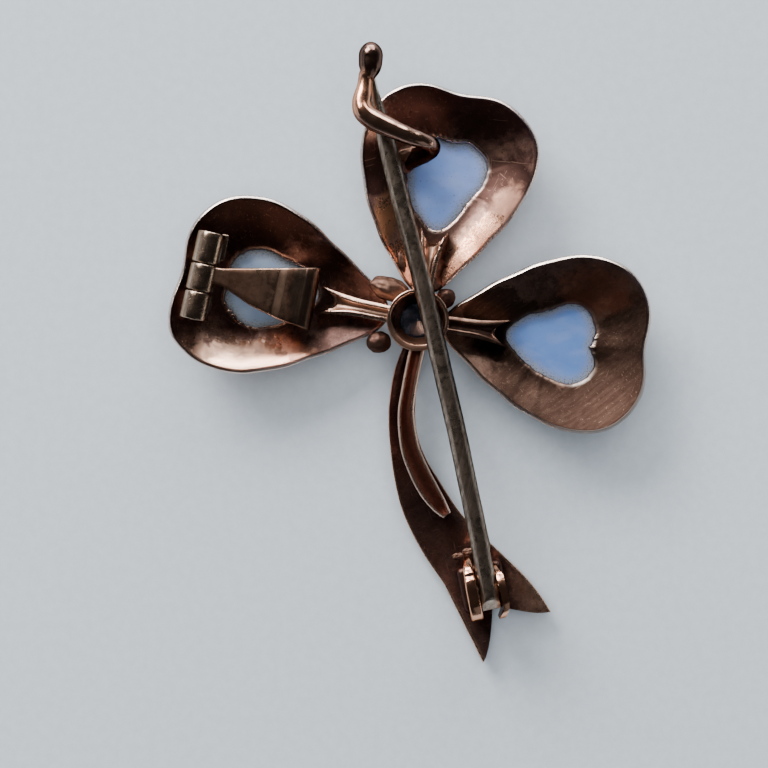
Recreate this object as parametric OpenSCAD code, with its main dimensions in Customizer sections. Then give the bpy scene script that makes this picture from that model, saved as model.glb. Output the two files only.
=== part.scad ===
// Clover brooch with a fold-down pendant bail, lying face down with its back up.
// Millimetres, +Z up. The table is z = 0 and the middle of the part's box is x = y = 0.

/* [Leaves] */
// Thickness of the leaf sheet at its opening
sheet_t = 0.45; // [0.3:0.05:0.8]
// Thickness of the leaf sheet at its rim
rim_t = 0.32; // [0.2:0.02:0.5]
// Height of the sheet's back at the opening
dish_z = 1.50; // [1.2:0.05:2]
// Clearance between a heart stone and its setting
stone_gap = 0.06; // [0.03:0.01:0.12]
// How much wider than the opening a heart stone is, each side
stone_ledge = 0.31; // [0.2:0.01:0.5]
// Wall of the setting round a heart stone
bezel_t = 0.26; // [0.15:0.01:0.4]
// Height of the setting's lip above the table
lip_z = 0.40; // [0.3:0.02:0.6]

/* [Centre collet] */
// Outer radius of the collet at its back rim
collet_r = 1.62; // [1.4:0.02:2]
// Height of the collet's back rim
collet_z = 3.00; // [2.6:0.05:3.4]
// Radius of the round centre stone
centre_r = 1.12; // [0.9:0.02:1.3]

/* [Stem] */
// Thickness of the stem ribbon
ribbon_t = 0.45; // [0.3:0.05:0.7]
// How far the ribbon's edges rise above its middle
ribbon_dish = 0.34; // [0.1:0.02:0.6]

/* [Pin and its hinge] */
// Radius of the pin shaft
pin_r = 0.52; // [0.35:0.01:0.6]
// Length of the pin from pivot to point
pin_len = 27.35; // [22:0.01:30]
// Pin's lean from the part's long axis, in degrees
pin_lean = 12.84; // [0:0.01:30]
// Rise of the pin towards its point, in degrees
pin_rise = 1.13; // [0:0.01:5]
// Height of the pivot
pivot_z = 3.20; // [2.8:0.02:3.8]
// Radius of the pin's round eye
eye_r = 0.90; // [0.6:0.01:1]
// Radius of the pin rivet
rivet_r = 0.30; // [0.2:0.01:0.4]
// Thickness of the left hinge ear
ear_l = 0.76; // [0.5:0.02:1]
// Thickness of the right hinge ear
ear_r = 0.48; // [0.3:0.02:1]
// Side gap between the pin's eye and an ear
eye_gap = 0.05; // [0.03:0.01:0.1]

/* [Catch] */
// Radius of the ball on the catch's end
ball_r = 0.66; // [0.5:0.01:0.9]
// Radius of the solder round the catch's foot
foot_r = 0.60; // [0.4:0.02:0.8]

/* [Bail and its hinge] */
// Radius of a barrel knuckle
knuckle_r = 0.73; // [0.5:0.01:0.9]
// Height of the barrel's axis
barrel_z = 3.45; // [3:0.01:4]
// Barrel's lean from the part's long axis, in degrees
barrel_lean = -12.64; // [-30:0.01:30]
// Radius of the bail rivet
bail_rivet_r = 0.24; // [0.15:0.01:0.35]
// Length of the bail from the barrel's axis to its bend
bail_len = 5.98; // [4:0.01:7]
// Half width of the bail beside the barrel
bail_w0 = 0.44; // [0.3:0.02:0.8]
// Half width of the bail at its bend
bail_w1 = 1.64; // [1:0.02:2.2]
// How far the strip sits off the barrel's middle, towards its upper end
bail_off = 0.25; // [0:0.01:0.4]
// Thickness of the bail's strip
bail_t = 0.30; // [0.2:0.01:0.5]
// Height of the bail's upper strip above the barrel's axis
bail_top = 0.40; // [0.2:0.02:0.6]
// Depth of the bail's lower strip below the barrel's axis
bail_drop = 1.15; // [0.7:0.05:1.3]

/* [Hidden] */
// moves the collet's middle to its place in the part's box
shift = [0.343, 1.984, 0];
step = 15;          // degrees between the rows of HEART
centre_u = 7.30;    // from the collet's middle to the middle of a heart opening
n_round = 40;       // points round a leaf
n_stone = 32;       // points round a heart stone
pivot = [3.76, -13.97, pivot_z];
barrel = [-11.19, 2.17, barrel_z];
rivet_gap = 0.02;
run_gap = 0.04;

// Half of the heart, seen from the middle of its opening: row i is at 15 i degrees from the leaf's notch to its tip.
// columns: outline radius, opening radius, rim height
HEART = [
    [4.71, 2.12, 2.85],
    [5.00, 2.34, 2.95],
    [5.33, 2.48, 3.10],
    [5.39, 2.49, 3.15],
    [5.17, 2.34, 3.15],
    [4.78, 2.10, 3.10],
    [4.40, 1.89, 3.02],
    [4.14, 1.79, 2.92],
    [4.06, 1.78, 2.78],
    [4.16, 1.86, 2.60],
    [4.54, 1.99, 2.38],
    [5.26, 2.22, 2.12],
    [6.00, 2.42, 1.95]];

// columns: name, axis direction in degrees, how far the whole leaf is moved out, extra length of its tip and arm
LEAVES = [
    ["top", 79.3, 0.0, 0.0],
    ["left", 168.3, 0.6, 0.4],
    ["right", -8.6, -0.1, 0.0]];

// Cross-section of the sheet from opening to rim: share of the way out
DISH_STEPS = [0, 0.25, 0.52, 0.80, 1];

// Arm from collet to heart. columns: distance out, half width, top height, depth, how far its edges run ahead of its middle
ARM = [
    [1.50, 0.44, 2.90, 0.60, 0.00],
    [2.20, 0.45, 2.84, 0.60, 0.00],
    [3.00, 0.47, 2.74, 0.62, 0.00],
    [3.60, 0.55, 2.60, 0.72, 0.20],
    [4.05, 0.71, 2.42, 0.95, 0.75]];

// Rib down the stem. columns: x, y, half width, top height, depth
RIB = [
    [-0.04, -1.49, 0.40, 2.90, 0.60],
    [-0.20, -2.20, 0.40, 2.86, 0.62],
    [-0.46, -3.54, 0.39, 2.74, 0.66],
    [-0.62, -4.93, 0.43, 2.56, 0.70],
    [-0.43, -6.57, 0.49, 2.32, 0.80],
    [0.03, -7.83, 0.53, 2.08, 0.90],
    [0.58, -8.89, 0.53, 1.84, 0.90],
    [1.12, -9.69, 0.43, 1.62, 0.85],
    [1.55, -10.24, 0.26, 1.42, 0.75]];

// Stem ribbon. columns: left edge x, y, right edge x, y, height of the middle of its back
RIBBON = [
    [-0.76, -1.37, 0.30, -1.37, 1.93],
    [-1.22, -2.60, 0.12, -2.60, 1.78],
    [-1.47, -4.00, -0.10, -4.20, 1.62],
    [-1.54, -5.30, -0.06, -5.70, 1.45],
    [-1.44, -6.80, 0.38, -7.10, 1.27],
    [-1.22, -8.40, 1.17, -8.45, 1.08],
    [-0.87, -9.85, 2.14, -9.95, 0.86],
    [-0.33, -11.15, 3.14, -11.05, 0.65],
    [0.42, -12.50, 4.18, -11.94, 0.51],
    [1.40, -13.93, 5.10, -12.76, 0.45]];
// the ribbon's two points and the notch between them. columns: x, y, height
RIBBON_TIPS = [[3.44, -18.05, 0.95], [4.30, -15.05, 0.62], [7.01, -15.27, 1.15]];

// Catch wire from its foot on the top leaf to its ball. columns: x, y, z, radius
CATCH = [
    [-0.72, 8.27, 1.75, 0.50],
    [-0.51, 8.38, 1.98, 0.50],
    [-0.15, 8.50, 2.40, 0.50],
    [0.26, 8.60, 2.95, 0.48],
    [0.61, 8.75, 3.60, 0.46],
    [0.71, 8.89, 4.25, 0.44],
    [0.52, 9.03, 4.75, 0.42],
    [0.13, 9.15, 5.02, 0.42],
    [-0.39, 9.32, 5.12, 0.45],
    [-1.00, 9.57, 5.18, 0.49],
    [-1.66, 9.86, 5.20, 0.53],
    [-2.28, 10.16, 5.20, 0.55],
    [-2.76, 10.54, 5.16, 0.54],
    [-2.91, 11.01, 5.08, 0.50],
    [-2.84, 11.51, 5.02, 0.44],
    [-2.74, 11.97, 4.98, 0.39],
    [-2.61, 12.49, 4.96, 0.40],
    [-2.48, 12.98, 4.94, 0.50],
    [-2.42, 13.46, 4.92, 0.55]];

// Granule beads in the gaps beside the collet. columns: x, y, z, radius
BEADS = [
    [-1.45, 1.64, 2.05, 0.72],
    [1.48, 1.17, 2.10, 0.52],
    [-2.08, -1.02, 2.02, 0.62]];

// ---- helpers ----
function mix(a, b, t) = a * (1 - t) + b * t;
function unit(v) = v / norm(v);
// value between rows i and i + 1 on a smooth curve through four rows
function curve(a, b, c, d, t) = b + t * ((c - a) / 2 + t * (a - 2.5 * b + 2 * c - d / 2 + t * (b * 1.5 - c * 1.5 + (d - a) / 2)));
// row of a table at a fractional position, all its columns at once
function row_at(tab, s) =
    let(n = len(tab) - 1, i = min(floor(s), n - 1), t = s - i)
    curve(tab[i > 0 ? i - 1 : 0], tab[i], tab[i + 1], tab[i + 2 > n ? n : i + 2], t);
// HEART column c at angle a, mirrored about the leaf's axis
function heart(a, c) =
    let(b = a > 180 ? 360 - a : a, s = b / step, n = 12, i = min(floor(s), n - 1), t = s - i,
        before = i == 0 ? 1 : i - 1, after = i + 2 > n ? n - 1 : i + 2)
    curve(HEART[before][c], HEART[i][c], HEART[i + 1][c], HEART[after][c], t);
function dish(a, t) = mix(dish_z, heart(a, 2), 0.3 * t + 0.7 * t * t);

// n sections of m points each, closed round in both directions
function ring_faces(n, m) = [for (i = [0 : n - 1], j = [0 : m - 1])
    let(a = i * m + j, b = i * m + (j + 1) % m, c = ((i + 1) % n) * m + (j + 1) % m, d = ((i + 1) % n) * m + j)
    each [[a, c, b], [a, d, c]]];
// n sections of m points each, with a cap on each end made of the triangles in cap
function tube_faces(n, m, cap) = concat(
    [for (i = [0 : n - 2], j = [0 : m - 1])
        let(a = i * m + j, b = i * m + (j + 1) % m, c = (i + 1) * m + (j + 1) % m, d = (i + 1) * m + j)
        each [[a, b, c], [a, c, d]]],
    [for (t = cap) [t[0], t[2], t[1]]],
    [for (t = cap) [for (k = t) (n - 1) * m + k]]);

// ---- pieces of the frame ----
// cross-section of a leaf at angle a, as [radius, height], from the opening out over the back and home under the front; extra lengthens the tip
function leaf_section(a, extra) =
    let(ro = heart(a, 1), rr = heart(a, 0) + extra * pow(max(0, -cos(a)), 8), ledge = ro + stone_ledge + stone_gap, seat = dish_z - sheet_t,
        foot = ledge + bezel_t, n = len(DISH_STEPS) - 1)
    concat(
        [for (t = DISH_STEPS) [mix(ro, rr, t), dish(a, t) + (t == 0 ? -0.06 : 0)]],
        [[rr - 0.10, dish(a, 1) - rim_t]],
        [for (k = [n - 1 : -1 : 2]) let(t = DISH_STEPS[k]) [mix(ro, rr, t) + 0.04, dish(a, t) - mix(sheet_t, rim_t, t)]],
        [[foot, dish(a, (foot - ro) / (rr - ro)) - sheet_t],
         [foot - 0.06, lip_z],
         [ledge - 0.10, lip_z],
         [ledge, lip_z + 0.22],
         [ledge, seat],
         [ro, seat]]);

module leaf(extra) {
    m = len(leaf_section(0, 0));
    polyhedron(
        points = [for (i = [0 : n_round - 1]) let(a = 360 * i / n_round, s = leaf_section(a, extra)) each
            [for (p = s) [centre_u + p[0] * cos(a), p[0] * sin(a), p[1]]]],
        faces = ring_faces(n_round, m), convexity = 6);
}

// a channel's section across, as [distance from its middle, height from its top]
function channel(w, depth) =
    let(lip = w - min(0.20, w * 0.5), floor_w = w - min(0.24, w * 0.58))
    [[-w, 0], [-lip, 0], [-floor_w, -0.28], [floor_w, -0.28], [lip, 0], [w, 0], [w - 0.02, -depth], [-w + 0.02, -depth]];

CHANNEL_CAP = [[0, 1, 7], [1, 2, 7], [2, 3, 7], [3, 6, 7], [3, 4, 6], [4, 5, 6]];

module arm(extra) {
    stations = 9;
    polyhedron(
        points = [for (i = [0 : stations - 1])
            let(r = row_at(ARM, i * (len(ARM) - 1) / (stations - 1)), out = r[0] + extra * i / (stations - 1))
            each [for (q = channel(r[1], r[3])) [out + r[4] * pow(q[0] / r[1], 2), q[0], r[2] + q[1]]]],
        faces = tube_faces(stations, 8, CHANNEL_CAP), convexity = 6);
}

module rib() {
    stations = 17;
    last = len(RIB) - 1;
    polyhedron(
        points = [for (i = [0 : stations - 1])
            let(s = i * last / (stations - 1), r = row_at(RIB, s),
                p = row_at(RIB, max(s - 0.1, 0)), q = row_at(RIB, min(s + 0.1, last)),
                along = unit([q[0] - p[0], q[1] - p[1]]), side = [-along[1], along[0]])
            each [for (c = channel(r[2], r[4])) [r[0] + side[0] * c[0], r[1] + side[1] * c[0], r[3] + c[1]]]],
        faces = tube_faces(stations, 8, CHANNEL_CAP), convexity = 6);
}

// point on the ribbon's back: s along its rows, w from its left edge 0 to its right edge 1
function ribbon_edge(s, w) =
    let(r = row_at(RIBBON, s))
    [mix(r[0], r[2], w), mix(r[1], r[3], w), r[4] + ribbon_dish * pow(2 * w - 1, 2)];
// end of the ribbon from its left point by the notch to its right point, both tails a little full
function ribbon_tip(w) = w < 0.5
    ? mix(RIBBON_TIPS[0], RIBBON_TIPS[1], 2 * w) + [0.14, -0.05, 0] * sin(360 * w)
    : mix(RIBBON_TIPS[1], RIBBON_TIPS[2], 2 * w - 1) + [0.02, -0.16, 0] * sin(360 * (w - 0.5));

module ribbon() {
    rows = 14;       // along the blade
    tips = 5;        // along the fork
    across = 6;      // spaces across
    last = len(RIBBON) - 1;
    back = [for (i = [0 : rows + tips - 1]) [for (j = [0 : across]) let(w = j / across)
        i < rows ? ribbon_edge(i * last / (rows - 1), w)
                 : let(f = (i - rows + 1) / tips)
                   mix(ribbon_edge(last, w), ribbon_tip(w), f) + [0.12 * w * w, 0.10 * w * w, -0.04] * sin(180 * f)]];
    m = 2 * (across + 1);
    // each section runs along the back and home along the front
    polyhedron(
        points = [for (r = back) each concat(
            [for (p = r) p],
            [for (j = [across : -1 : 0]) r[j] - [0, 0, ribbon_t]])],
        faces = tube_faces(rows + tips, m, [for (j = [0 : across - 1]) each [[j, j + 1, m - 2 - j], [j, m - 2 - j, m - 1 - j]]]), convexity = 6);
}

module catch() {
    stations = 15;
    last = len(CATCH) - 1;
    at = [for (i = [0 : stations - 1]) row_at(CATCH, i * last / (stations - 1))];
    for (i = [0 : stations - 2]) hull() for (p = [at[i], at[i + 1]])
        translate([p[0], p[1], p[2]]) sphere(r = p[3], $fn = 12);
    translate([CATCH[last][0], CATCH[last][1], CATCH[last][2]]) rotate([0, 0, 4.2]) sphere(r = ball_r, $fn = 20);
    // solder round the foot
    translate([CATCH[0][0], CATCH[0][1], CATCH[0][2]]) sphere(r = foot_r, $fn = 14);
}

module collet() {
    rotate([0, 0, 7.7]) rotate_extrude($fn = 40) polygon([
        [collet_r - 0.12, 0.72], [collet_r, 1.2], [collet_r, collet_z],
        [collet_r - 0.17, collet_z], [0.98, 1.45], [centre_r + 0.05, 1.20],
        [centre_r + 0.05, 0.98], [centre_r - 0.06, 0.80], [centre_r + 0.02, 0.72]]);
}

// the hinge's own frame: pivot at the origin, pin along +Y, rivet along X
module at_pivot() { translate(pivot) rotate([0, 0, pin_lean]) children(); }

// outline of an ear from the side: flat foot, rounded shoulders. y0, y1 ends, z0 foot, z1 top, c corner radius
function ear_outline(y0, y1, z0, z1, c) = concat(
    [[y0, z0], [y1, z0]],
    [for (k = [0 : 8]) [y1 - c + c * cos(k * 11.25), z1 - c + c * sin(k * 11.25)]],
    [for (k = [0 : 8]) [y0 + c - c * sin(k * 11.25), z1 - c + c * cos(k * 11.25)]]);

module hinge() {
    inner = pin_r + eye_gap;
    difference() {
        union() {
            translate([-inner - ear_l, 0, 0]) rotate([90, 0, 90])
                linear_extrude(ear_l) polygon(ear_outline(-1.49, 1.87, 1.05 - pivot_z, 4.05 - pivot_z, 1.15));
            translate([inner, 0, 0]) rotate([90, 0, 90])
                linear_extrude(ear_r) polygon(ear_outline(-1.54, 1.30, 1.05 - pivot_z, 4.02 - pivot_z, 1.15));
            // base under both ears, a little wider on the left
            translate([-inner - ear_l - 0.42, -1.20, 0.40 - pivot_z]) cube([2 * inner + ear_l + ear_r + 0.40, 2.75, 0.90]);
        }
        translate([-2, 0, 0]) rotate([0, 90, 0]) cylinder(r = rivet_r + rivet_gap, h = 4, $fn = 32);
    }
}

// the barrel's own frame: middle knuckle at the origin, rivet along Y, bail along +X
module at_barrel() { translate(barrel) rotate([0, 0, barrel_lean]) children(); }
module outer_knuckles() {
    difference() {
        union() {
            for (s = [[0.76, 2.40], [-2.21, -0.76]]) {
                translate([0, s[0], 0]) rotate([-90, 0, 0]) cylinder(r = knuckle_r, h = s[1] - s[0], $fn = 40);
                // the foot follows the slope of the dish, so it ends within the sheet
                hull() for (e = [[-0.36, -1.36], [0.34, -1.74]])
                    translate([e[0], s[0] + 0.07, e[1]]) cube([0.02, s[1] - s[0] - 0.14, -0.40 - e[1]]);
            }
        }
        translate([0, -3, 0]) rotate([-90, 0, 0]) cylinder(r = bail_rivet_r + rivet_gap, h = 6, $fn = 32);
    }
}

module frame() {
    color("#9a6a52") translate(shift) {
        for (l = LEAVES) rotate([0, 0, l[1]]) {
            translate([l[2], 0, 0]) leaf(l[3]);
            arm(l[3]);
        }
        collet();
        rib();
        ribbon();
        catch();
        for (b = BEADS) translate([b[0], b[1], b[2]]) sphere(r = b[3], $fn = 12);
        at_pivot() hinge();
        at_barrel() outer_knuckles();
    }
}

// ---- stones ----
// rings of a heart stone. columns: share of its width, height
STONE = [[1, dish_z - sheet_t - 0.05], [1, 0.62], [0.95, 0.44], [0.82, 0.20], [0.60, 0.06], [0.32, 0.01]];
module heart_stone(i) {
    rings = len(STONE);
    translate(shift) rotate([0, 0, LEAVES[i][1]]) translate([LEAVES[i][2] + centre_u, 0, 0])
        polyhedron(
            points = concat(
                [for (s = STONE, k = [0 : n_stone - 1]) let(a = 360 * k / n_stone, r = (heart(a, 1) + stone_ledge) * s[0])
                    [r * cos(a), r * sin(a), s[1]]],
                [[0, 0, 0], [0, 0, STONE[0][1]]]),
            faces = concat(
                [for (j = [0 : rings - 2], k = [0 : n_stone - 1])
                    let(a = j * n_stone + k, b = j * n_stone + (k + 1) % n_stone, c = b + n_stone, d = a + n_stone)
                    each [[a, b, c], [a, c, d]]],
                [for (k = [0 : n_stone - 1]) let(q = (rings - 1) * n_stone) [q + k, q + (k + 1) % n_stone, rings * n_stone]],
                [for (k = [0 : n_stone - 1]) [(k + 1) % n_stone, k, rings * n_stone + 1]]),
            convexity = 4);
}
module moonstone_top() { color("#8fa3cc") heart_stone(0); }
module moonstone_left() { color("#8fa3cc") heart_stone(1); }
module moonstone_right() { color("#8fa3cc") heart_stone(2); }

module centre_stone() {
    color("#1d2233") translate(shift) rotate_extrude($fn = 64) polygon([
        [0, 0.46], [0.62, 0.46], [centre_r - 0.02, 0.99], [centre_r, 1.04], [centre_r, 1.13], [centre_r - 0.03, 1.17], [0.06, 2.0], [0, 2.0]]);
}

// ---- pin ----
module pin_stem() {
    color("#8d8468") translate(shift) at_pivot() rotate([pin_rise, 0, 0])
        difference() {
            union() {
                translate([-pin_r, 0, 0]) rotate([0, 90, 0]) cylinder(r = eye_r, h = 2 * pin_r, $fn = 64);
                // shaft level with the top of the eye, then its point
                translate([0, 0, eye_r - pin_r]) rotate([-90, 0, 0]) {
                    cylinder(r = pin_r - 0.003, h = pin_len - 3.6, $fn = 48);
                    translate([0, 0, pin_len - 3.6]) cylinder(r1 = pin_r - 0.003, r2 = 0.33, h = 1.5, $fn = 48);
                    translate([0, 0, pin_len - 2.1]) cylinder(r1 = 0.33, r2 = 0.26, h = 1.65, $fn = 48);
                    translate([0, 0, pin_len - 0.45]) cylinder(r1 = 0.26, r2 = 0.07, h = 0.45, $fn = 48);
                }
            }
            translate([-2, 0, 0]) rotate([0, 90, 0]) cylinder(r = rivet_r + run_gap, h = 4, $fn = 48);
        }
}
module pin_rivet() {
    inner = pin_r + eye_gap;
    color("#8d8468") translate(shift) at_pivot() translate([-inner - ear_l - 0.05, 0, 0]) rotate([0, 90, 0]) cylinder(r = rivet_r, h = 2 * inner + ear_l + ear_r + 0.10, $fn = 48);
}

// ---- bail ----
// closed loop of strip seen from the side, as [out, height], offset inwards by d
function loop(d) =
    let(mid = (bail_top - bail_drop) / 2, half = (bail_top + bail_drop) / 2, r = half - d, cx = bail_len - half)
    concat([[0.42 + d, -0.40], [0.95 + d * 0.5, mid - r]],
        [for (k = [0 : 14]) [cx + r * sin(k * 180 / 14), mid - r * cos(k * 180 / 14)]],
        [[0.42 + d, mid + r]]);

module bail() {
    color("#86795a") translate(shift) at_barrel() {
        difference() {
            union() {
                translate([0, -0.70, 0]) rotate([-90, 0, 0]) cylinder(r = knuckle_r, h = 1.40, $fn = 64);
                // strip: the loop seen from the side, cut to the taper seen from above
                intersection() {
                    translate([0, 2.5, 0]) rotate([90, 0, 0]) linear_extrude(5) difference() {
                        polygon(loop(0));
                        polygon(loop(bail_t));
                    }
                    translate([0, bail_off, -3]) linear_extrude(6) polygon([
                        [0, -bail_w0], [0.9, -bail_w0], [bail_len + 0.1, -bail_w1], [bail_len + 0.1, bail_w1], [0.9, bail_w0], [0, bail_w0]]);
                }
            }
            translate([0, -3, 0]) rotate([-90, 0, 0]) cylinder(r = bail_rivet_r + run_gap, h = 6, $fn = 48);
        }
    }
}
module bail_rivet() {
    color("#8d8468") translate(shift) at_barrel() translate([0, -2.23, 0]) rotate([-90, 0, 0]) cylinder(r = bail_rivet_r, h = 4.65, $fn = 48);
}

frame();
moonstone_top();
moonstone_left();
moonstone_right();
centre_stone();
pin_stem();
pin_rivet();
bail();
bail_rivet();
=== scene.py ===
import math
import bmesh
import bpy
import numpy as np
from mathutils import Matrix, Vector, noise


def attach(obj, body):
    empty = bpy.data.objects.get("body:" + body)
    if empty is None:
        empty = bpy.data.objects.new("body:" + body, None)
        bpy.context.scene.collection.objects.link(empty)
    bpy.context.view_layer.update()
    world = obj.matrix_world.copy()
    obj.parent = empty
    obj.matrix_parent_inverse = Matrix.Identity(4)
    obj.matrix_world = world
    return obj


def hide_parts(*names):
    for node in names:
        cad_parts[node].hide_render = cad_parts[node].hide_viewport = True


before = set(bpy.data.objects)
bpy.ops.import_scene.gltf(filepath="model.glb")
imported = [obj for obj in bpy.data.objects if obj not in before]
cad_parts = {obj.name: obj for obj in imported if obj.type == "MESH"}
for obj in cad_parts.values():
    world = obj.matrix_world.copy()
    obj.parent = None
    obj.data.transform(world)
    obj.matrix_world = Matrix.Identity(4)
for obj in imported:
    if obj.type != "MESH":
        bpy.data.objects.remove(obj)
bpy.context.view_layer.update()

MM = 0.001
SHIFT = np.array([0.343, 1.984, 0.0])      # collet's middle in the row frame, mm

# ------------------------------------------------------------------ sizes, the same as in the CAD part (mm)
SHEET_T, RIM_T, DISH_Z, STONE_GAP, STONE_LEDGE, BEZEL_T, LIP_Z = 0.45, 0.32, 1.50, 0.06, 0.31, 0.26, 0.40
COLLET_R, COLLET_Z, CENTRE_R, CENTRE_U = 1.62, 3.00, 1.12, 7.30
RIBBON_T, RIBBON_DISH = 0.45, 0.34
PIN_R, PIN_LEN, PIN_LEAN, PIN_RISE, PIVOT_Z, EYE_R, RIVET_R, EAR_L, EAR_R, EYE_GAP = 0.52, 27.35, 12.84, 1.13, 3.20, 0.90, 0.30, 0.76, 0.48, 0.05
KNUCKLE_R, BARREL_Z, BARREL_LEAN, BAIL_RIVET_R = 0.73, 3.45, -12.64, 0.24
BAIL_LEN, BAIL_W0, BAIL_W1, BAIL_T, BAIL_TOP, BAIL_DROP, BAIL_OFF = 5.98, 0.44, 1.64, 0.30, 0.40, 1.15, 0.25
PIVOT = SHIFT + np.array([3.76, -13.97, PIVOT_Z])
BARREL = SHIFT + np.array([-11.19, 2.17, BARREL_Z])

# half of the heart, every 15 degrees from notch to tip: outline radius, opening radius, rim height
HEART = np.array([
    [4.71, 2.12, 2.85], [5.00, 2.34, 2.95], [5.33, 2.48, 3.10], [5.39, 2.49, 3.15], [5.17, 2.34, 3.15],
    [4.78, 2.10, 3.10], [4.40, 1.89, 3.02], [4.14, 1.79, 2.92], [4.06, 1.78, 2.78], [4.16, 1.86, 2.60],
    [4.54, 1.99, 2.38], [5.26, 2.22, 2.12], [6.00, 2.42, 1.95]])
# name: axis direction, moved out, longer tip, unevenness of the outline and of the opening (mean, then cosine and sine of 1, 2, 3, 4 turns), seed
LEAVES = {
    "top": (79.3, 0.0, 0.0, [-0.02, 0.04, 0.09, 0, -0.03, 0.01, 0.06, -0.01, 0], [0, 0.06, 0.03, 0.06, -0.10, 0, 0.02, 0.02, 0.04], 3),
    "left": (168.3, 0.6, 0.4, [0.02, 0, 0.05, -0.05, 0.03, 0.02, 0.05, 0, 0], [0.06, -0.03, -0.06, 0.02, 0.08, 0.03, -0.08, 0.01, 0.04], 11),
    "right": (-8.6, -0.1, 0.0, [0, 0.04, 0.03, -0.02, -0.03, 0, -0.03, -0.02, -0.02], [0.01, 0, -0.02, -0.02, -0.03, -0.05, -0.04, 0.01, -0.04], 23)}
ARM = np.array([
    [1.50, 0.44, 2.90, 0.60, 0.00], [2.20, 0.45, 2.84, 0.60, 0.00], [3.00, 0.47, 2.74, 0.62, 0.00],
    [3.60, 0.55, 2.60, 0.72, 0.20], [4.05, 0.71, 2.42, 0.95, 0.75]])
RIB = np.array([
    [-0.04, -1.49, 0.40, 2.90, 0.60], [-0.20, -2.20, 0.40, 2.86, 0.62], [-0.46, -3.54, 0.39, 2.74, 0.66],
    [-0.62, -4.93, 0.43, 2.56, 0.70], [-0.43, -6.57, 0.49, 2.32, 0.80], [0.03, -7.83, 0.53, 2.08, 0.90],
    [0.58, -8.89, 0.53, 1.84, 0.90], [1.12, -9.69, 0.43, 1.62, 0.85], [1.55, -10.24, 0.26, 1.42, 0.75]])
RIBBON = np.array([
    [-0.76, -1.37, 0.30, -1.37, 1.93], [-1.22, -2.60, 0.12, -2.60, 1.78], [-1.47, -4.00, -0.10, -4.20, 1.62],
    [-1.54, -5.30, -0.06, -5.70, 1.45], [-1.44, -6.80, 0.38, -7.10, 1.27], [-1.22, -8.40, 1.17, -8.45, 1.08],
    [-0.87, -9.85, 2.14, -9.95, 0.86], [-0.33, -11.15, 3.10, -11.04, 0.65], [0.42, -12.50, 4.08, -11.94, 0.51],
    [1.40, -13.93, 4.90, -12.72, 0.45]])
RIBBON_TIPS = np.array([[3.46, -18.10, 0.95], [3.98, -15.02, 0.60], [7.14, -15.48, 1.12]])
# catch wire from its foot to the widest place of its ball: x, y, z, radius
CATCH = np.array([
    [-0.72, 8.27, 1.75, 0.500], [-0.51, 8.38, 1.98, 0.500], [-0.15, 8.50, 2.40, 0.500], [0.26, 8.60, 2.95, 0.480],
    [0.61, 8.75, 3.60, 0.460], [0.71, 8.89, 4.25, 0.440], [0.52, 9.03, 4.75, 0.420], [0.13, 9.15, 5.02, 0.420],
    [-0.39, 9.32, 5.12, 0.450], [-1.00, 9.57, 5.18, 0.490], [-1.66, 9.86, 5.20, 0.530], [-2.28, 10.16, 5.20, 0.550],
    [-2.76, 10.54, 5.16, 0.540], [-2.91, 11.01, 5.08, 0.500], [-2.84, 11.51, 5.02, 0.440], [-2.78, 11.89, 4.99, 0.375],
    [-2.74, 12.24, 4.98, 0.345], [-2.69, 12.41, 4.97, 0.400], [-2.59, 12.56, 4.96, 0.460], [-2.51, 12.79, 4.95, 0.560],
    [-2.46, 13.10, 4.94, 0.610], [-2.44, 13.41, 4.93, 0.627]])
# local unevenness of a leaf: angle, width in degrees, change of the outline, change of the opening
NUDGES = {
    "top": [(297, 14, 0.13, 0.0)],
    "left": [(35, 10, 0.17, 0.0), (306, 15, 0.0, -0.12), (250, 22, 0.0, -0.11), (42, 14, 0.0, -0.13)],
    "right": [(350, 14, 0.14, 0.0), (100, 22, 0.0, -0.17)]}
# burrs round the openings: angle, width (degrees), height
BURRS = {"top": [(12, 16, 0.22)], "left": [(52, 20, 0.20), (325, 12, 0.10)], "right": [(3, 10, 0.16)]}
# sideways bow of the pin: distance from the pivot, offset to the right
BOW = np.array([[-1.1, -0.19], [0, -0.14], [1.6, -0.05], [3.1, 0.01], [7.9, 0.09], [12.7, 0.09], [16.5, 0.06], [18.6, 0.03], [20.7, -0.075], [22.9, -0.105], [25.5, -0.15], [26.6, -0.18], [27.4, -0.04]])
BEADS = [(-1.48, 1.64, 2.05, 0.74), (1.48, 1.17, 2.10, 0.52), (-2.04, -1.14, 1.92, 0.60)]


# ------------------------------------------------------------------ helpers
def curve(a, b, c, d, t):
    return b + t * ((c - a) / 2 + t * (a - 2.5 * b + 2 * c - d / 2 + t * (b * 1.5 - c * 1.5 + (d - a) / 2)))


def row_at(tab, s):
    n = len(tab) - 1
    i = min(int(math.floor(s)), n - 1)
    return curve(tab[max(i - 1, 0)], tab[i], tab[i + 1], tab[min(i + 2, n)], s - i)


_k = np.arange(13)
_series = np.linalg.solve(np.cos(np.outer(np.radians(15.0 * _k), _k)), HEART)


def heart(a, column):
    return np.cos(np.outer(a, _k)) @ _series[:, column]


def uneven(w, a):
    out = np.full(len(a), float(w[0]))
    for j in range(1, 5):
        out = out + w[2 * j - 1] * np.cos(j * a) + w[2 * j] * np.sin(j * a)
    return out


def nudge(name, a, column):
    out = np.zeros(len(a))
    for row in NUDGES[name]:
        d = (np.degrees(a) - row[0] + 180) % 360 - 180
        out = out + row[column] * np.exp(-(d / row[1]) ** 2)
    return out


def rot_z(deg):
    c, s = math.cos(math.radians(deg)), math.sin(math.radians(deg))
    return np.array([[c, -s, 0], [s, c, 0], [0, 0, 1.0]])


def rot_x(deg):
    c, s = math.cos(math.radians(deg)), math.sin(math.radians(deg))
    return np.array([[1.0, 0, 0], [0, c, -s], [0, s, c]])


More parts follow.
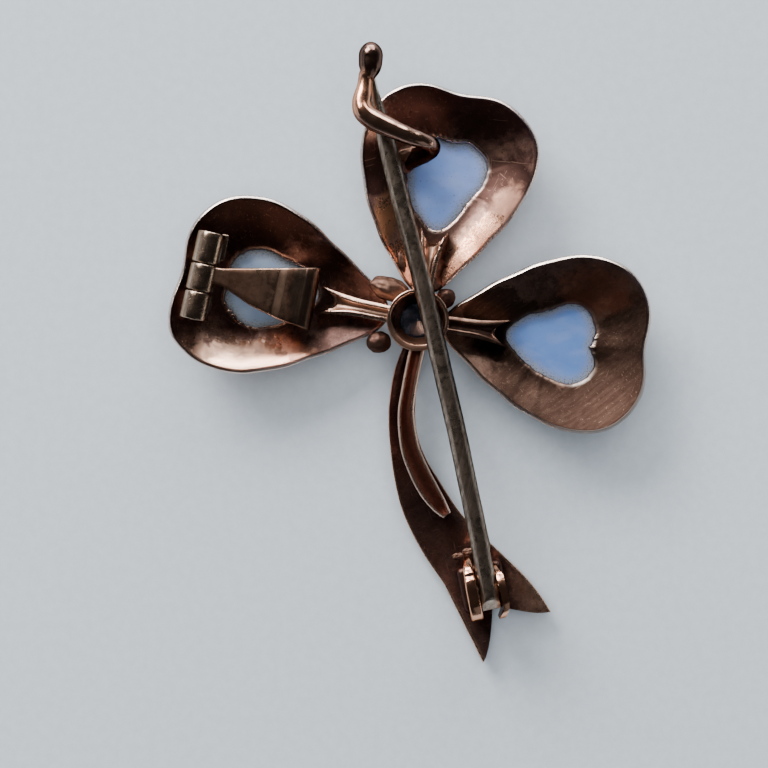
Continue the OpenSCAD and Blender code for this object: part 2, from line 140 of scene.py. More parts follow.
def field(points, scale, seed, octaves=2):
    """Smooth noise at each point, about -1 to 1."""
    base = Vector((seed * 3.71, seed * 1.93, seed * 5.17))
    out = np.empty(len(points))
    for i, p in enumerate(points):
        out[i] = noise.fractal(Vector(p) * scale + base, 0.6, 2.1, octaves)
    return out


def smoothstep(x, lo, hi):
    t = np.clip((x - lo) / (hi - lo), 0, 1)
    return t * t * (3 - 2 * t)


def piece(name, verts, faces, node, material, sharp=40, bevel=0.0, segments=2, bevel_angle=35, attributes=None, also=()):
    me = bpy.data.meshes.new(name)
    me.from_pydata((np.asarray(verts, float) * MM).tolist(), [], [tuple(int(i) for i in f) for f in faces])
    me.validate()
    for key, values in (attributes or {}).items():
        layer = me.attributes.new(key, "FLOAT", "POINT")
        layer.data.foreach_set("value", np.asarray(values, np.float32))
    ob = bpy.data.objects.new(name, me)
    bpy.context.scene.collection.objects.link(ob)
    import bmesh
    bm = bmesh.new()
    bm.from_mesh(me)
    bmesh.ops.recalc_face_normals(bm, faces=bm.faces)
    bm.to_mesh(me)
    bm.free()
    if bevel:
        mod = ob.modifiers.new("bevel", "BEVEL")
        mod.width = bevel * MM
        mod.segments = segments
        mod.limit_method = "ANGLE"
        mod.angle_limit = math.radians(bevel_angle)
        mod.use_clamp_overlap = True
        deps = bpy.context.evaluated_depsgraph_get()
        done = bpy.data.meshes.new_from_object(ob.evaluated_get(deps))
        ob.modifiers.clear()
        ob.data = done
        me = done
    me.shade_smooth()
    me.set_sharp_from_angle(angle=math.radians(sharp))
    me.materials.clear()
    me.materials.append(material)
    body = {"pin_stem": "pin", "bail": "pendant_bail"}.get(node, "brooch")
    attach(ob, body)
    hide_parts(node)
    return ob


def ring_loft(S):
    """S[n, m, 3]: n sections of m points, closed both ways."""
    n, m = S.shape[:2]
    faces = []
    for i in range(n):
        for j in range(m):
            a, b = i * m + j, i * m + (j + 1) % m
            c, d = ((i + 1) % n) * m + (j + 1) % m, ((i + 1) % n) * m + j
            faces.append((a, d, c, b))
    return S.reshape(-1, 3), faces


def tube_loft(S):
    """S[n, m, 3]: n round sections of m points, ends closed by a point each."""
    n, m = S.shape[:2]
    faces = []
    for i in range(n - 1):
        for j in range(m):
            a, b = i * m + j, i * m + (j + 1) % m
            faces.append((a, b, b + m, a + m))
    verts = np.vstack([S.reshape(-1, 3), S[0].mean(0), S[-1].mean(0)])
    for j in range(m):
        faces.append((n * m, (j + 1) % m, j))
        faces.append((n * m + 1, (n - 1) * m + j, (n - 1) * m + (j + 1) % m))
    return verts, faces


def slab(top, bottom):
    """Closed body between two grids[n, m, 3]."""
    n, m = top.shape[:2]
    verts = np.vstack([top.reshape(-1, 3), bottom.reshape(-1, 3)])
    q = n * m
    faces = []
    for i in range(n - 1):
        for j in range(m - 1):
            a = i * m + j
            faces.append((a, a + 1, a + m + 1, a + m))
            faces.append((q + a, q + a + m, q + a + m + 1, q + a + 1))
        for j in (0, m - 1):
            a = i * m + j
            faces.append((a, a + m, q + a + m, q + a) if j == 0 else (a, q + a, q + a + m, a + m))
    for j in range(m - 1):
        faces.append((j, q + j, q + j + 1, j + 1))
        a = (n - 1) * m + j
        faces.append((a, a + 1, q + a + 1, q + a))
    return verts, faces


def sweep(path, radius, m=32, flat=None):
    """Round sections along a path. flat[i] squeezes section i along its own second direction."""
    path = np.asarray(path, float)
    n = len(path)
    tangent = np.gradient(path, axis=0)
    tangent /= np.linalg.norm(tangent, axis=1)[:, None]
    side = np.cross(tangent[0], [0, 0, 1.0])
    if np.linalg.norm(side) < 1e-3:
        side = np.array([1.0, 0, 0])
    side /= np.linalg.norm(side)
    turn = np.linspace(0, 2 * np.pi, m, endpoint=False)
    S = np.empty((n, m, 3))
    for i in range(n):
        side = side - tangent[i] * (side @ tangent[i])
        side /= np.linalg.norm(side)
        up = np.cross(tangent[i], side)
        f = 1.0 if flat is None else flat[i]
        S[i] = path[i] + radius[i] * (np.outer(np.cos(turn), side) + f * np.outer(np.sin(turn), up))
    return S


def lathe(profile, n=96):
    """Closed profile [(r, z), ...] turned round Z."""
    prof = np.asarray(profile, float)
    turn = np.linspace(0, 2 * np.pi, n, endpoint=False)
    S = np.stack([np.stack([prof[:, 0] * math.cos(t), prof[:, 0] * math.sin(t), prof[:, 1]], 1) for t in turn])
    return ring_loft(S)


def ball(centre, r, squash=(1, 1, 1), seed=0, amount=0.0, nu=48, nv=30):
    verts, faces = [], []
    for i in range(1, nv):
        p = math.pi * i / nv
        for j in range(nu):
            q = 2 * math.pi * j / nu
            verts.append([math.sin(p) * math.cos(q), math.sin(p) * math.sin(q), math.cos(p)])
    for i in range(nv - 2):
        for j in range(nu):
            a, b = i * nu + j, i * nu + (j + 1) % nu
            faces.append((a, a + nu, b + nu, b))
    top, low = len(verts), len(verts) + 1
    verts += [[0, 0, 1.0], [0, 0, -1.0]]
    for j in range(nu):
        faces.append((top, j, (j + 1) % nu))
        faces.append((low, (nv - 2) * nu + (j + 1) % nu, (nv - 2) * nu + j))
    v = np.array(verts)
    if amount:
        v = v * (1 + amount * field(v, 1.3, seed))[:, None]
    return np.asarray(centre) + v * r * np.asarray(squash), faces


def join(*parts):
    verts, faces, base = [], [], 0
    for v, f in parts:
        verts.append(np.asarray(v, float))
        faces += [tuple(i + base for i in face) for face in f]
        base += len(v)
    return np.vstack(verts), faces


def place(part, turn=None, move=None):
    v, f = part
    v = np.asarray(v, float)
    if turn is not None:
        v = v @ turn.T
    if move is not None:
        v = v + np.asarray(move)
    return v, f


def cylinder_y(r, y0, y1, n=64, chamfer=0.05):
    """Round bar along Y with rounded edges at its ends and flat end faces."""
    prof = [(0.0, y0 - 0.0), (r * 0.5, y0), (r - chamfer, y0), (r - 0.3 * chamfer, y0 + 0.3 * chamfer), (r, y0 + chamfer)]
    steps = 6
    mid = [(r, y0 + chamfer + (y1 - y0 - 2 * chamfer) * k / steps) for k in range(1, steps)]
    end = [(r, y1 - chamfer), (r - 0.3 * chamfer, y1 - 0.3 * chamfer), (r - chamfer, y1), (r * 0.5, y1)]
    rings = prof[1:] + mid + end
    turn = np.linspace(0, 2 * np.pi, n, endpoint=False)
    S = np.stack([np.stack([q[0] * np.cos(turn), np.full(n, q[1]), -q[0] * np.sin(turn)], 1) for q in rings])
    return tube_loft(S)


def prism(outline, x0, x1):
    """Outline [(y, z), ...] pulled from x0 to x1."""
    o = np.asarray(outline, float)
    m = len(o)
    verts = np.vstack([np.column_stack([np.full(m, x), o]) for x in (x0, x1)])
    faces = [tuple(range(m))[::-1], tuple(range(m, 2 * m))]
    faces += [(j, (j + 1) % m, m + (j + 1) % m, m + j) for j in range(m)]
    return verts, faces


def block(lo, hi):
    (x0, y0, z0), (x1, y1, z1) = lo, hi
    return prism([(y0, z0), (y1, z0), (y1, z1), (y0, z1)], x0, x1)


# ------------------------------------------------------------------ materials
class Graph:
    """Short names for building a node material."""

    def __init__(self, name):
        self.mat = bpy.data.materials.new(name)
        self.mat.use_nodes = True
        self.nt = self.mat.node_tree
        self.bsdf = self.nt.nodes["Principled BSDF"]
        coords = self.nt.nodes.new("ShaderNodeTexCoord")
        scale = self.nt.nodes.new("ShaderNodeVectorMath")
        scale.operation = "SCALE"
        scale.inputs["Scale"].default_value = 1000.0
        self.link(coords.outputs["Object"], scale.inputs[0])
        self.p = scale.outputs[0]           # millimetres

    def link(self, a, b):
        self.nt.links.new(a, b)

    def put(self, value, socket):
        if hasattr(value, "links"):
            self.link(value, socket)
        else:
            socket.default_value = value

    def math(self, op, a, b=0.0, clamp=False):
        n = self.nt.nodes.new("ShaderNodeMath")
        n.operation = op
        n.use_clamp = clamp
        self.put(a, n.inputs[0])
        self.put(b, n.inputs[1])
        return n.outputs[0]

    def vec(self, op, a, b=None):
        n = self.nt.nodes.new("ShaderNodeVectorMath")
        n.operation = op
        self.put(a, n.inputs[0])
        if b is not None:
            self.put(b, n.inputs[1])
        return n.outputs[1] if op in ("DOT_PRODUCT", "LENGTH") else n.outputs[0]

    def noise(self, scale, detail=3.0, rough=0.55, distort=0.0, offset=(0, 0, 0), stretch=None, turn=(0, 0, 0)):
        m = self.nt.nodes.new("ShaderNodeMapping")
        m.inputs["Location"].default_value = offset
        m.inputs["Rotation"].default_value = [math.radians(x) for x in turn]
        m.inputs["Scale"].default_value = stretch or (1, 1, 1)
        self.link(self.p, m.inputs["Vector"])
        n = self.nt.nodes.new("ShaderNodeTexNoise")
        n.inputs["Scale"].default_value = scale
        n.inputs["Detail"].default_value = detail
        n.inputs["Roughness"].default_value = rough
        n.inputs["Distortion"].default_value = distort
        self.link(m.outputs[0], n.inputs["Vector"])
        return n.outputs["Fac"]

    def turned(self, turn, stretch, offset=(0, 0, 0)):
        a = self.nt.nodes.new("ShaderNodeVectorRotate")
        a.rotation_type = "EULER_XYZ"
        a.inputs["Rotation"].default_value = [math.radians(x) for x in turn]
        self.link(self.p, a.inputs["Vector"])
        m = self.nt.nodes.new("ShaderNodeMapping")
        m.inputs["Scale"].default_value = stretch
        m.inputs["Location"].default_value = offset
        self.link(a.outputs[0], m.inputs["Vector"])
        return m.outputs[0]

    def streaks(self, turn, width, length, lo, hi, offset=(0, 0, 0)):
        """Thin scratches along one direction: 0 to 1."""
        n = self.nt.nodes.new("ShaderNodeTexNoise")
        n.inputs["Scale"].default_value = 1.0
        n.inputs["Detail"].default_value = 1.0
        self.link(self.turned((0, 0, turn), (1.0 / width, 1.0 / length, 0.6 / width), offset), n.inputs["Vector"])
        return self.ramp(n.outputs["Fac"], lo, hi)

    def ramp(self, value, lo, hi, out_lo=0.0, out_hi=1.0):
        n = self.nt.nodes.new("ShaderNodeMapRange")
        n.interpolation_type = "SMOOTHSTEP"
        self.put(value, n.inputs["Value"])
        n.inputs["From Min"].default_value = lo
        n.inputs["From Max"].default_value = hi
        n.inputs["To Min"].default_value = out_lo
        n.inputs["To Max"].default_value = out_hi
        return n.outputs["Result"]

    def mix(self, fac, a, b):
        n = self.nt.nodes.new("ShaderNodeMix")
        n.data_type = "RGBA"
        self.put(fac, n.inputs[0])
        for value, socket in ((a, n.inputs[6]), (b, n.inputs[7])):
            if hasattr(value, "links"):
                self.link(value, socket)
            else:
                socket.default_value = (*value, 1.0)
        return n.outputs[2]

    def attribute(self, name):
        n = self.nt.nodes.new("ShaderNodeAttribute")
        n.attribute_name = name
        return n.outputs["Fac"]

    def line(self, a, b, width):
        """1 on the straight line from a to b (mm), 0 away from it, seen from above."""
        a, b = np.array(a, float), np.array(b, float)
        d = b - a
        length = float(np.linalg.norm(d))
        d = d / length
        rel = self.vec("SUBTRACT", self.p, (a[0], a[1], 0))
        along = self.vec("DOT_PRODUCT", rel, (d[0], d[1], 0))
        across = self.vec("DOT_PRODUCT", rel, (-d[1], d[0], 0))
        wave = self.math("MULTIPLY", self.math("SINE", self.math("MULTIPLY", along, 2.1)), 0.03)
        near = self.ramp(self.math("ABSOLUTE", self.math("ADD", across, wave)), width, width * 0.35)
        inside = self.math("MULTIPLY", self.ramp(along, -0.05, 0.1), self.ramp(along, length + 0.05, length - 0.1))
        return self.math("MULTIPLY", near, inside)

    def spot(self, x, y, long, wide, turn, wobble):
        """1 inside an ellipse seen from above, 0 outside, with a ragged soft edge."""
        c, s = math.cos(math.radians(turn)), math.sin(math.radians(turn))
        rel = self.vec("SUBTRACT", self.p, (x, y, 0))
        u = self.vec("DOT_PRODUCT", rel, (c / long, s / long, 0))
        v = self.vec("DOT_PRODUCT", rel, (-s / wide, c / wide, 0))
        d = self.math("ADD", self.math("MULTIPLY", u, u), self.math("MULTIPLY", v, v))
        d = self.math("ADD", d, self.math("MULTIPLY", self.math("SUBTRACT", wobble, 0.5), 2.2))
        return self.ramp(d, 1.5, 0.3)

    def bump(self, height, strength, distance_mm, normal=None):
        n = self.nt.nodes.new("ShaderNodeBump")
        n.inputs["Strength"].default_value = strength
        n.inputs["Distance"].default_value = distance_mm * MM
        self.link(height, n.inputs["Height"])
        if normal is not None:
            self.link(normal, n.inputs["Normal"])
        return n.outputs[0]


def metal(name, clean, stained, deep, stain=(0.30, 0.72), rough=(0.2, 0.42), scratch=0.5, grain=0.5, seed=0.0, edge=True, lines=(), brushed=None, spots=(), sheen=(0.30, 0.17, 0.12), matte=(), fibre=(0.05, 2.4, 0.45), polish_and_highlight=0.0, freckle=0.0, tints=()):
    """Old gold: clean metal, brown tarnish over it in clouds, deep tarnish in specks, scratches, fine grain.
    spots: x, y, half length, half width (mm), turn, tarnish added (negative where it is rubbed clean)."""
    g = Graph(name)
    s = seed
    clouds = g.noise(0.50, 4, 0.6, 0.6, (s, s * 1.7, -s))
    blotch = g.noise(2.4, 5, 0.62, 0.4, (s * 2.1, -s, s))
    speck = g.noise(9.0, 3, 0.6, 0.0, (-s, s * 0.7, s * 1.3))
    fine = g.noise(30.0, 2, 0.5)
    mask = g.math("ADD", g.math("MULTIPLY", clouds, 0.55), g.math("MULTIPLY", blotch, 0.30))
    mask = g.math("ADD", mask, g.math("MULTIPLY", speck, 0.15))
    for x, y, long, wide, turn, amount in spots:
        mask = g.math("ADD", mask, g.math("MULTIPLY", g.spot(x, y, long, wide, turn, blotch), amount))
    if edge:
        mask = g.math("SUBTRACT", mask, g.math("MULTIPLY", g.attribute("worn"), 0.35))
        # the deep attribute adds tarnish; on the collet, the catch wire and the pin it also brings painted shade
        mask = g.math("ADD", mask, g.math("MULTIPLY", g.attribute("deep"), 0.30))
    tarnish = g.ramp(mask, stain[0], stain[1])
    heavy = g.ramp(mask, stain[1] - 0.06, stain[1] + 0.26)
    dots = g.math("MULTIPLY", g.ramp(speck, 0.55, 0.70), g.ramp(mask, stain[0], stain[1]))
    colour = g.mix(tarnish, clean, stained)
    colour = g.mix(g.math("MULTIPLY", heavy, 0.85), colour, deep)
    colour = g.mix(g.math("MULTIPLY", dots, 0.38), colour, deep)
    for x, y, long, wide, turn, amount, tint in tints:
        colour = g.mix(g.math("MULTIPLY", g.spot(x, y, long, wide, turn, blotch), amount), colour, tint)
    if freckle:
        spotted = g.math("MULTIPLY", g.ramp(speck, 0.40, 0.58), g.math("SUBTRACT", 1.0, tarnish))
        colour = g.mix(g.math("MULTIPLY", spotted, freckle), colour, (0.66, 0.33, 0.21))
    # worn edges lightened almost to white: partly real wear, partly a painted highlight along the rims and openings
    if polish_and_highlight:
        colour = g.mix(g.math("MULTIPLY", g.attribute("worn"), polish_and_highlight), colour, (0.98, 0.90, 0.85))
    marks = None
    for k, (turn, width, length) in enumerate(((18, 0.055, 1.9), (-52, 0.05, 1.3), (77, 0.06, 1.6), (-12, 0.045, 0.9))):
        one = g.streaks(turn + seed * 9, width, length, 0.70, 0.80, (seed + k * 3.3, k * 1.7, 0))
        marks = one if marks is None else g.math("MAXIMUM", marks, one)
    for a, b, w in lines:
        marks = g.math("MAXIMUM", marks, g.line(a, b, w))
    marks_seen = g.math("MULTIPLY", marks, scratch, clamp=True)
    colour = g.mix(g.math("MULTIPLY", marks_seen, 0.55), colour, clean)
    if brushed:
        fibres = g.streaks(brushed, fibre[0], fibre[1], 0.2, 0.8, (seed * 4, 0, 0))
        bands = g.streaks(brushed, 0.16, 6.0, 0.35, 0.65, (seed * 2, 3, 0))
        colour = g.mix(g.math("MULTIPLY", g.math("MULTIPLY", fibres, bands), fibre[2]), colour, clean)
    g.link(colour, g.bsdf.inputs["Base Color"])
    r = g.math("ADD", g.ramp(tarnish, 0, 1, rough[0], rough[1]), g.math("MULTIPLY", g.math("SUBTRACT", blotch, 0.5), 0.22))
    r = g.math("ADD", r, g.math("MULTIPLY", g.math("SUBTRACT", fine, 0.5), 0.12))
    r = g.math("SUBTRACT", r, g.math("MULTIPLY", marks_seen, 0.10))
    if freckle:
        r = g.math("ADD", r, g.math("MULTIPLY", spotted, 0.5 * freckle * 0.3))
    if polish_and_highlight:
        r = g.math("SUBTRACT", r, g.math("MULTIPLY", g.attribute("worn"), 0.12 * polish_and_highlight))
    for x, y, long, wide, turn, amount in matte:
        r = g.math("ADD", r, g.math("MULTIPLY", g.spot(x, y, long, wide, turn, blotch), amount))
    r = g.math("MAXIMUM", r, 0.08)
    g.link(r, g.bsdf.inputs["Roughness"])
    g.bsdf.inputs["Metallic"].default_value = 1.0
    g.bsdf.inputs["Specular Tint"].default_value = (*sheen, 1.0)
    normal = g.bump(g.math("ADD", g.math("MULTIPLY", blotch, 0.7), g.math("MULTIPLY", speck, 0.3)), 0.55 * grain, 0.018)
    normal = g.bump(fine, 0.5 * grain, 0.004, normal)
    normal = g.bump(g.math("MULTIPLY", marks, -1.0), 0.8 * scratch, 0.006, normal)
    if brushed:
        normal = g.bump(fibres, fibre[2], 0.005, normal)
    g.link(normal, g.bsdf.inputs["Normal"])
    return g.mat


def rgb(*v):
    """sRGB 0-255 to linear."""
    return tuple(((c / 255 + 0.055) / 1.055) ** 2.4 if c > 10 else c / 255 / 12.92 for c in v)


ROSE, ROSE_STAIN, ROSE_DEEP = (0.95, 0.62, 0.47), (0.34, 0.195, 0.165), (0.075, 0.038, 0.032)
YELLOW, YELLOW_STAIN, YELLOW_DEEP = (0.68, 0.57, 0.46), (0.36, 0.275, 0.22), (0.08, 0.06, 0.048)

mat_leaf = {
    "top": metal("gold_leaf_top", ROSE, (0.28, 0.16, 0.135), ROSE_DEEP, (0.28, 0.64), (0.19, 0.36), 0.5, 0.9, 1.3, polish_and_highlight=0.60, freckle=0.85, matte=((3.20, 5.20, 2.2, 1.0, 58, 0.07), (4.90, 8.95, 1.4, 1.2, -55, 0.12)), tints=((3.20, 5.20, 2.6, 1.1, 58, 0.95, (0.88, 0.41, 0.26)), (4.9, 7.6, 1.6, 0.8, 68, 0.45, (0.90, 0.50, 0.36)), (-1.45, 7.2, 1.9, 0.7, 70, 0.85, (0.66, 0.35, 0.18))),
                 lines=(((4.23, 10.42), (5.22, 10.32), 0.025), ((5.22, 10.32), (6.42, 10.11), 0.025), ((4.23, 10.52), (4.23, 9.53), 0.025),
                        ((4.64, 9.74), (5.01, 9.43), 0.02), ((4.12, 12.51), (5.06, 12.41), 0.02), ((-2.63, 10.21), (-1.84, 10.52), 0.03), ((-2.42, 9.95), (-1.95, 10.16), 0.02)),
                 spots=((4.10, 5.90, 2.2, 1.15, 60, -0.36), (4.90, 8.95, 1.5, 1.3, -55, 0.50), (-1.95, 9.05, 0.55, 1.2, 90, 0.45), (4.96, 7.12, 1.0, 0.20, 66, 0.30), (3.07, 13.09, 4.2, 1.6, -8, 0.40), (0.72, 13.35, 2.2, 1.2, 20, 0.40),
                        (-2.05, 10.05, 1.3, 1.1, 80, 0.50), (5.27, 9.16, 1.8, 0.9, 75, 0.30), (-1.53, 7.49, 1.5, 0.7, 70, -0.05), (-0.69, 5.40, 0.9, 0.6, 60, -0.22), (3.10, 5.00, 2.0, 0.9, 58, -0.42))),
    "left": metal("gold_leaf_left", ROSE, (0.24, 0.14, 0.12), (0.05, 0.026, 0.022), (0.28, 0.62), (0.18, 0.33), 0.5, 0.9, 4.7, polish_and_highlight=0.60, freckle=0.40, tints=((-6.6, -0.1, 1.6, 0.9, 4, 0.6, (0.90, 0.48, 0.33)),),
                  lines=(((-5.82, -0.31), (-4.25, 0.32), 0.03), ((-9.69, 2.10), (-9.07, 1.73), 0.03), ((-10.27, 0.32), (-7.81, -0.15), 0.02), ((-9.90, -0.20), (-8.44, 0.32), 0.02)),
                  spots=((-8.80, -0.05, 2.6, 1.0, -4, -0.45), (-8.18, 7.33, 4.5, 1.9, 8, 0.42), (-3.99, 0.69, 2.4, 1.0, 20, 0.30), (-11.94, 3.04, 2.2, 1.0, 75, 0.30), (-3.47, 4.61, 2.6, 1.3, -30, 0.35), (-5.82, 0.69, 0.9, 0.8, 0, 0.12))),
    "right": metal("gold_leaf_right", (0.72, 0.52, 0.39), (0.26, 0.155, 0.12), (0.038, 0.019, 0.014), (0.20, 0.50), (0.28, 0.40), 0.36, 0.9, 7.9, polish_and_highlight=0.60, brushed=52, fibre=(0.028, 1.3, 0.06),
                   lines=(((5.95, -2.61), (7.16, -3.45), 0.025), ((4.12, -1.35), (4.70, -1.67), 0.025)),
                   matte=((10.30, -2.20, 3.4, 2.0, 20, 0.26),),
                   tints=((9.60, 3.55, 1.9, 1.2, -12, 0.65, (0.42, 0.15, 0.09)),),
                   spots=((10.50, -1.93, 3.4, 2.3, 62, 0.62), (9.35, -2.45, 1.6, 1.2, 62, 0.10), (8.83, 4.09, 4.5, 1.5, -10, 0.06), (9.46, 3.67, 1.3, 0.9, 0, -0.10), (11.34, 1.21, 2.4, 1.3, 85, 0.30),
                          (6.48, -2.09, 2.8, 1.1, -30, 0.40), (4.12, 2.83, 1.4, 0.7, 25, 0.70), (4.90, 2.10, 1.6, 0.8, 20, 0.60), (4.64, 0.69, 1.8, 0.8, -20, 0.35))) }
mat_arm = metal("gold_arms", ROSE, (0.40, 0.25, 0.185), ROSE_DEEP, (0.30, 0.70), (0.26, 0.40), 0.3, 0.35, 2.2)
mat_rib = metal("gold_rib", (0.86, 0.60, 0.48), (0.42, 0.15, 0.10), (0.20, 0.07, 0.05), (0.26, 0.52), (0.30, 0.42), 0.3, 0.25, 21.3)
# the lower inner wall of the collet is made warmer and cleaner: a painted lit crescent
mat_collet = metal("gold_collet", ROSE, ROSE_STAIN, ROSE_DEEP, (0.30, 0.68), (0.22, 0.40), 0.4, 0.9, 5.1, matte=((0.10, 0.72, 1.2, 0.5, -30, 0.12),), spots=((0.10, 0.72, 1.2, 0.5, -30, -0.12),), tints=((0.10, 0.72, 1.2, 0.6, -30, 0.6, (0.80, 0.42, 0.29)),))
mat_bead = metal("gold_beads", (0.72, 0.50, 0.35), (0.30, 0.18, 0.13), ROSE_DEEP, (0.26, 0.60), (0.36, 0.50), 0.3, 0.9, 15.1)
mat_ribbon = metal("gold_ribbon", ROSE, (0.215, 0.125, 0.108), ROSE_DEEP, (0.13, 0.46), (0.26, 0.42), 0.5, 1.0, 9.4,
                   spots=((6.13, -12.49, 1.7, 0.8, -48, -0.22), (2.6, -9.6, 1.2, 1.6, 20, -0.08)))
mat_ear = metal("gold_hinge", (0.92, 0.50, 0.33), (0.40, 0.17, 0.13), ROSE_DEEP, (0.36, 0.72), (0.16, 0.28), 0.3, 0.22, 12.0)
mat_catch = metal("gold_catch", (0.93, 0.58, 0.42), (0.46, 0.27, 0.215), (0.07, 0.048, 0.040), (0.34, 0.70), (0.16, 0.20), 0.25, 0.14, 6.6, sheen=(0.16, 0.12, 0.10), matte=((-2.55, 13.6, 0.8, 0.6, 85, 0.09),), tints=((-2.55, 13.5, 1.1, 0.7, 85, 0.85, (0.86, 0.40, 0.24)),),
                  spots=((-2.09, 15.39, 0.85, 0.95, 0, 0.42), (-2.60, 13.59, 0.7, 0.3, 80, -0.3), (-1.53, 12.13, 1.3, 0.3, -25, -0.35)))
mat_pin = metal("gold_pin", YELLOW, (0.32, 0.245, 0.20), YELLOW_DEEP, (0.30, 0.60), (0.22, 0.34), 0.5, 0.16, 3.9, brushed=PIN_LEAN, fibre=(0.05, 3.4, 0.60), sheen=(0.22, 0.18, 0.15),
                spots=((5.2, -8.5, 5.0, 0.9, 103, 0.10), (-1.9, 14.6, 1.0, 0.3, 105, -0.40)))
mat_bail = metal("gold_bail", (0.60, 0.39, 0.28), (0.235, 0.13, 0.09), YELLOW_DEEP, (0.30, 0.70), (0.22, 0.36), 0.35, 0.45, 8.2, edge=False, brushed=-BARREL_LEAN, fibre=(0.05, 2.4, 0.12), sheen=(0.25, 0.20, 0.16), matte=((-6.80, 3.45, 2.4, 0.22, 78, 0.12),),
                 spots=((-8.86, 3.75, 1.5, 1.0, 0, 0.10), (-6.82, 3.50, 2.0, 0.26, 78, -0.30), (-5.70, 2.98, 0.75, 2.2, 0, 0.42)))
mat_barrel = metal("gold_barrel", (0.64, 0.49, 0.37), (0.31, 0.22, 0.165), YELLOW_DEEP, (0.26, 0.62), (0.17, 0.26), 0.35, 0.18, 10.6, edge=False, brushed=-BARREL_LEAN, sheen=(0.25, 0.20, 0.16))


def moonstone(name, seed, tint, cloud):
    g = Graph(name)
    big = g.noise(0.45, 2, 0.45, 0.2, (seed, seed * 2, 0))
    mid = g.noise(1.1, 2, 0.45, 0.1, (-seed, seed, 0))
    wisps = g.noise(0.8, 2, 0.45, 0.2, (seed * 3, 0, 0), (0.8, 1.5, 1.0), (0, 0, 35))
    specks = g.noise(9.0, 2, 0.5, 0.0, (seed, 0, seed))
    colour = g.mix(g.ramp(big, 0.30, 0.70), tint, cloud)
    colour = g.mix(g.math("MULTIPLY", g.ramp(wisps, 0.40, 0.85), 0.20), colour, (0.42, 0.46, 0.66))
    colour = g.mix(g.math("MULTIPLY", g.ramp(mid, 0.50, 0.75), 0.30), colour, (0.16, 0.20, 0.40))
    # grime gathers round the edge of the opening
    rim = g.attribute("grime")
    colour = g.mix(g.math("MULTIPLY", rim, g.ramp(specks, 0.30, 0.62, 0.45, 0.95)), colour, (0.225, 0.225, 0.215))
    fleck = g.noise(14.0, 2, 0.5, 0.0, (seed * 2, seed, 0))
    colour = g.mix(g.math("MULTIPLY", rim, g.ramp(fleck, 0.56, 0.62, 0.0, 0.85)), colour, (0.060, 0.052, 0.042))
    colour = g.mix(g.math("MULTIPLY", g.ramp(specks, 0.66, 0.72), 0.6), colour, (0.12, 0.11, 0.11))
    g.link(colour, g.bsdf.inputs["Base Color"])
    g.bsdf.inputs["Roughness"].default_value = 0.16
    g.bsdf.inputs["Subsurface Weight"].default_value = 0.35
    g.bsdf.inputs["Subsurface Radius"].default_value = (0.5, 0.6, 0.9)
    g.bsdf.inputs["Subsurface Scale"].default_value = 0.0006
    g.bsdf.inputs["IOR"].default_value = 1.52
    g.bsdf.inputs["Coat Weight"].default_value = 0.3
    g.bsdf.inputs["Coat Roughness"].default_value = 0.08
    normal = g.bump(mid, 0.35, 0.02)
    normal = g.bump(specks, 0.2, 0.004, normal)
    g.link(normal, g.bsdf.inputs["Normal"])
    return g.mat


def dark_stone():
    g = Graph("dark_stone")
    n = g.noise(1.4, 3, 0.5, 0.5)
    g.link(g.mix(g.ramp(n, 0.4, 0.65), (0.010, 0.012, 0.018), (0.045, 0.052, 0.068)), g.bsdf.inputs["Base Color"])
    g.bsdf.inputs["Roughness"].default_value = 0.10
    g.bsdf.inputs["IOR"].default_value = 1.77
    g.bsdf.inputs["Coat Weight"].default_value = 0.6
    g.bsdf.inputs["Coat Roughness"].default_value = 0.05
    g.link(g.bump(g.noise(12.0, 2), 0.25, 0.006), g.bsdf.inputs["Normal"])
    return g.mat


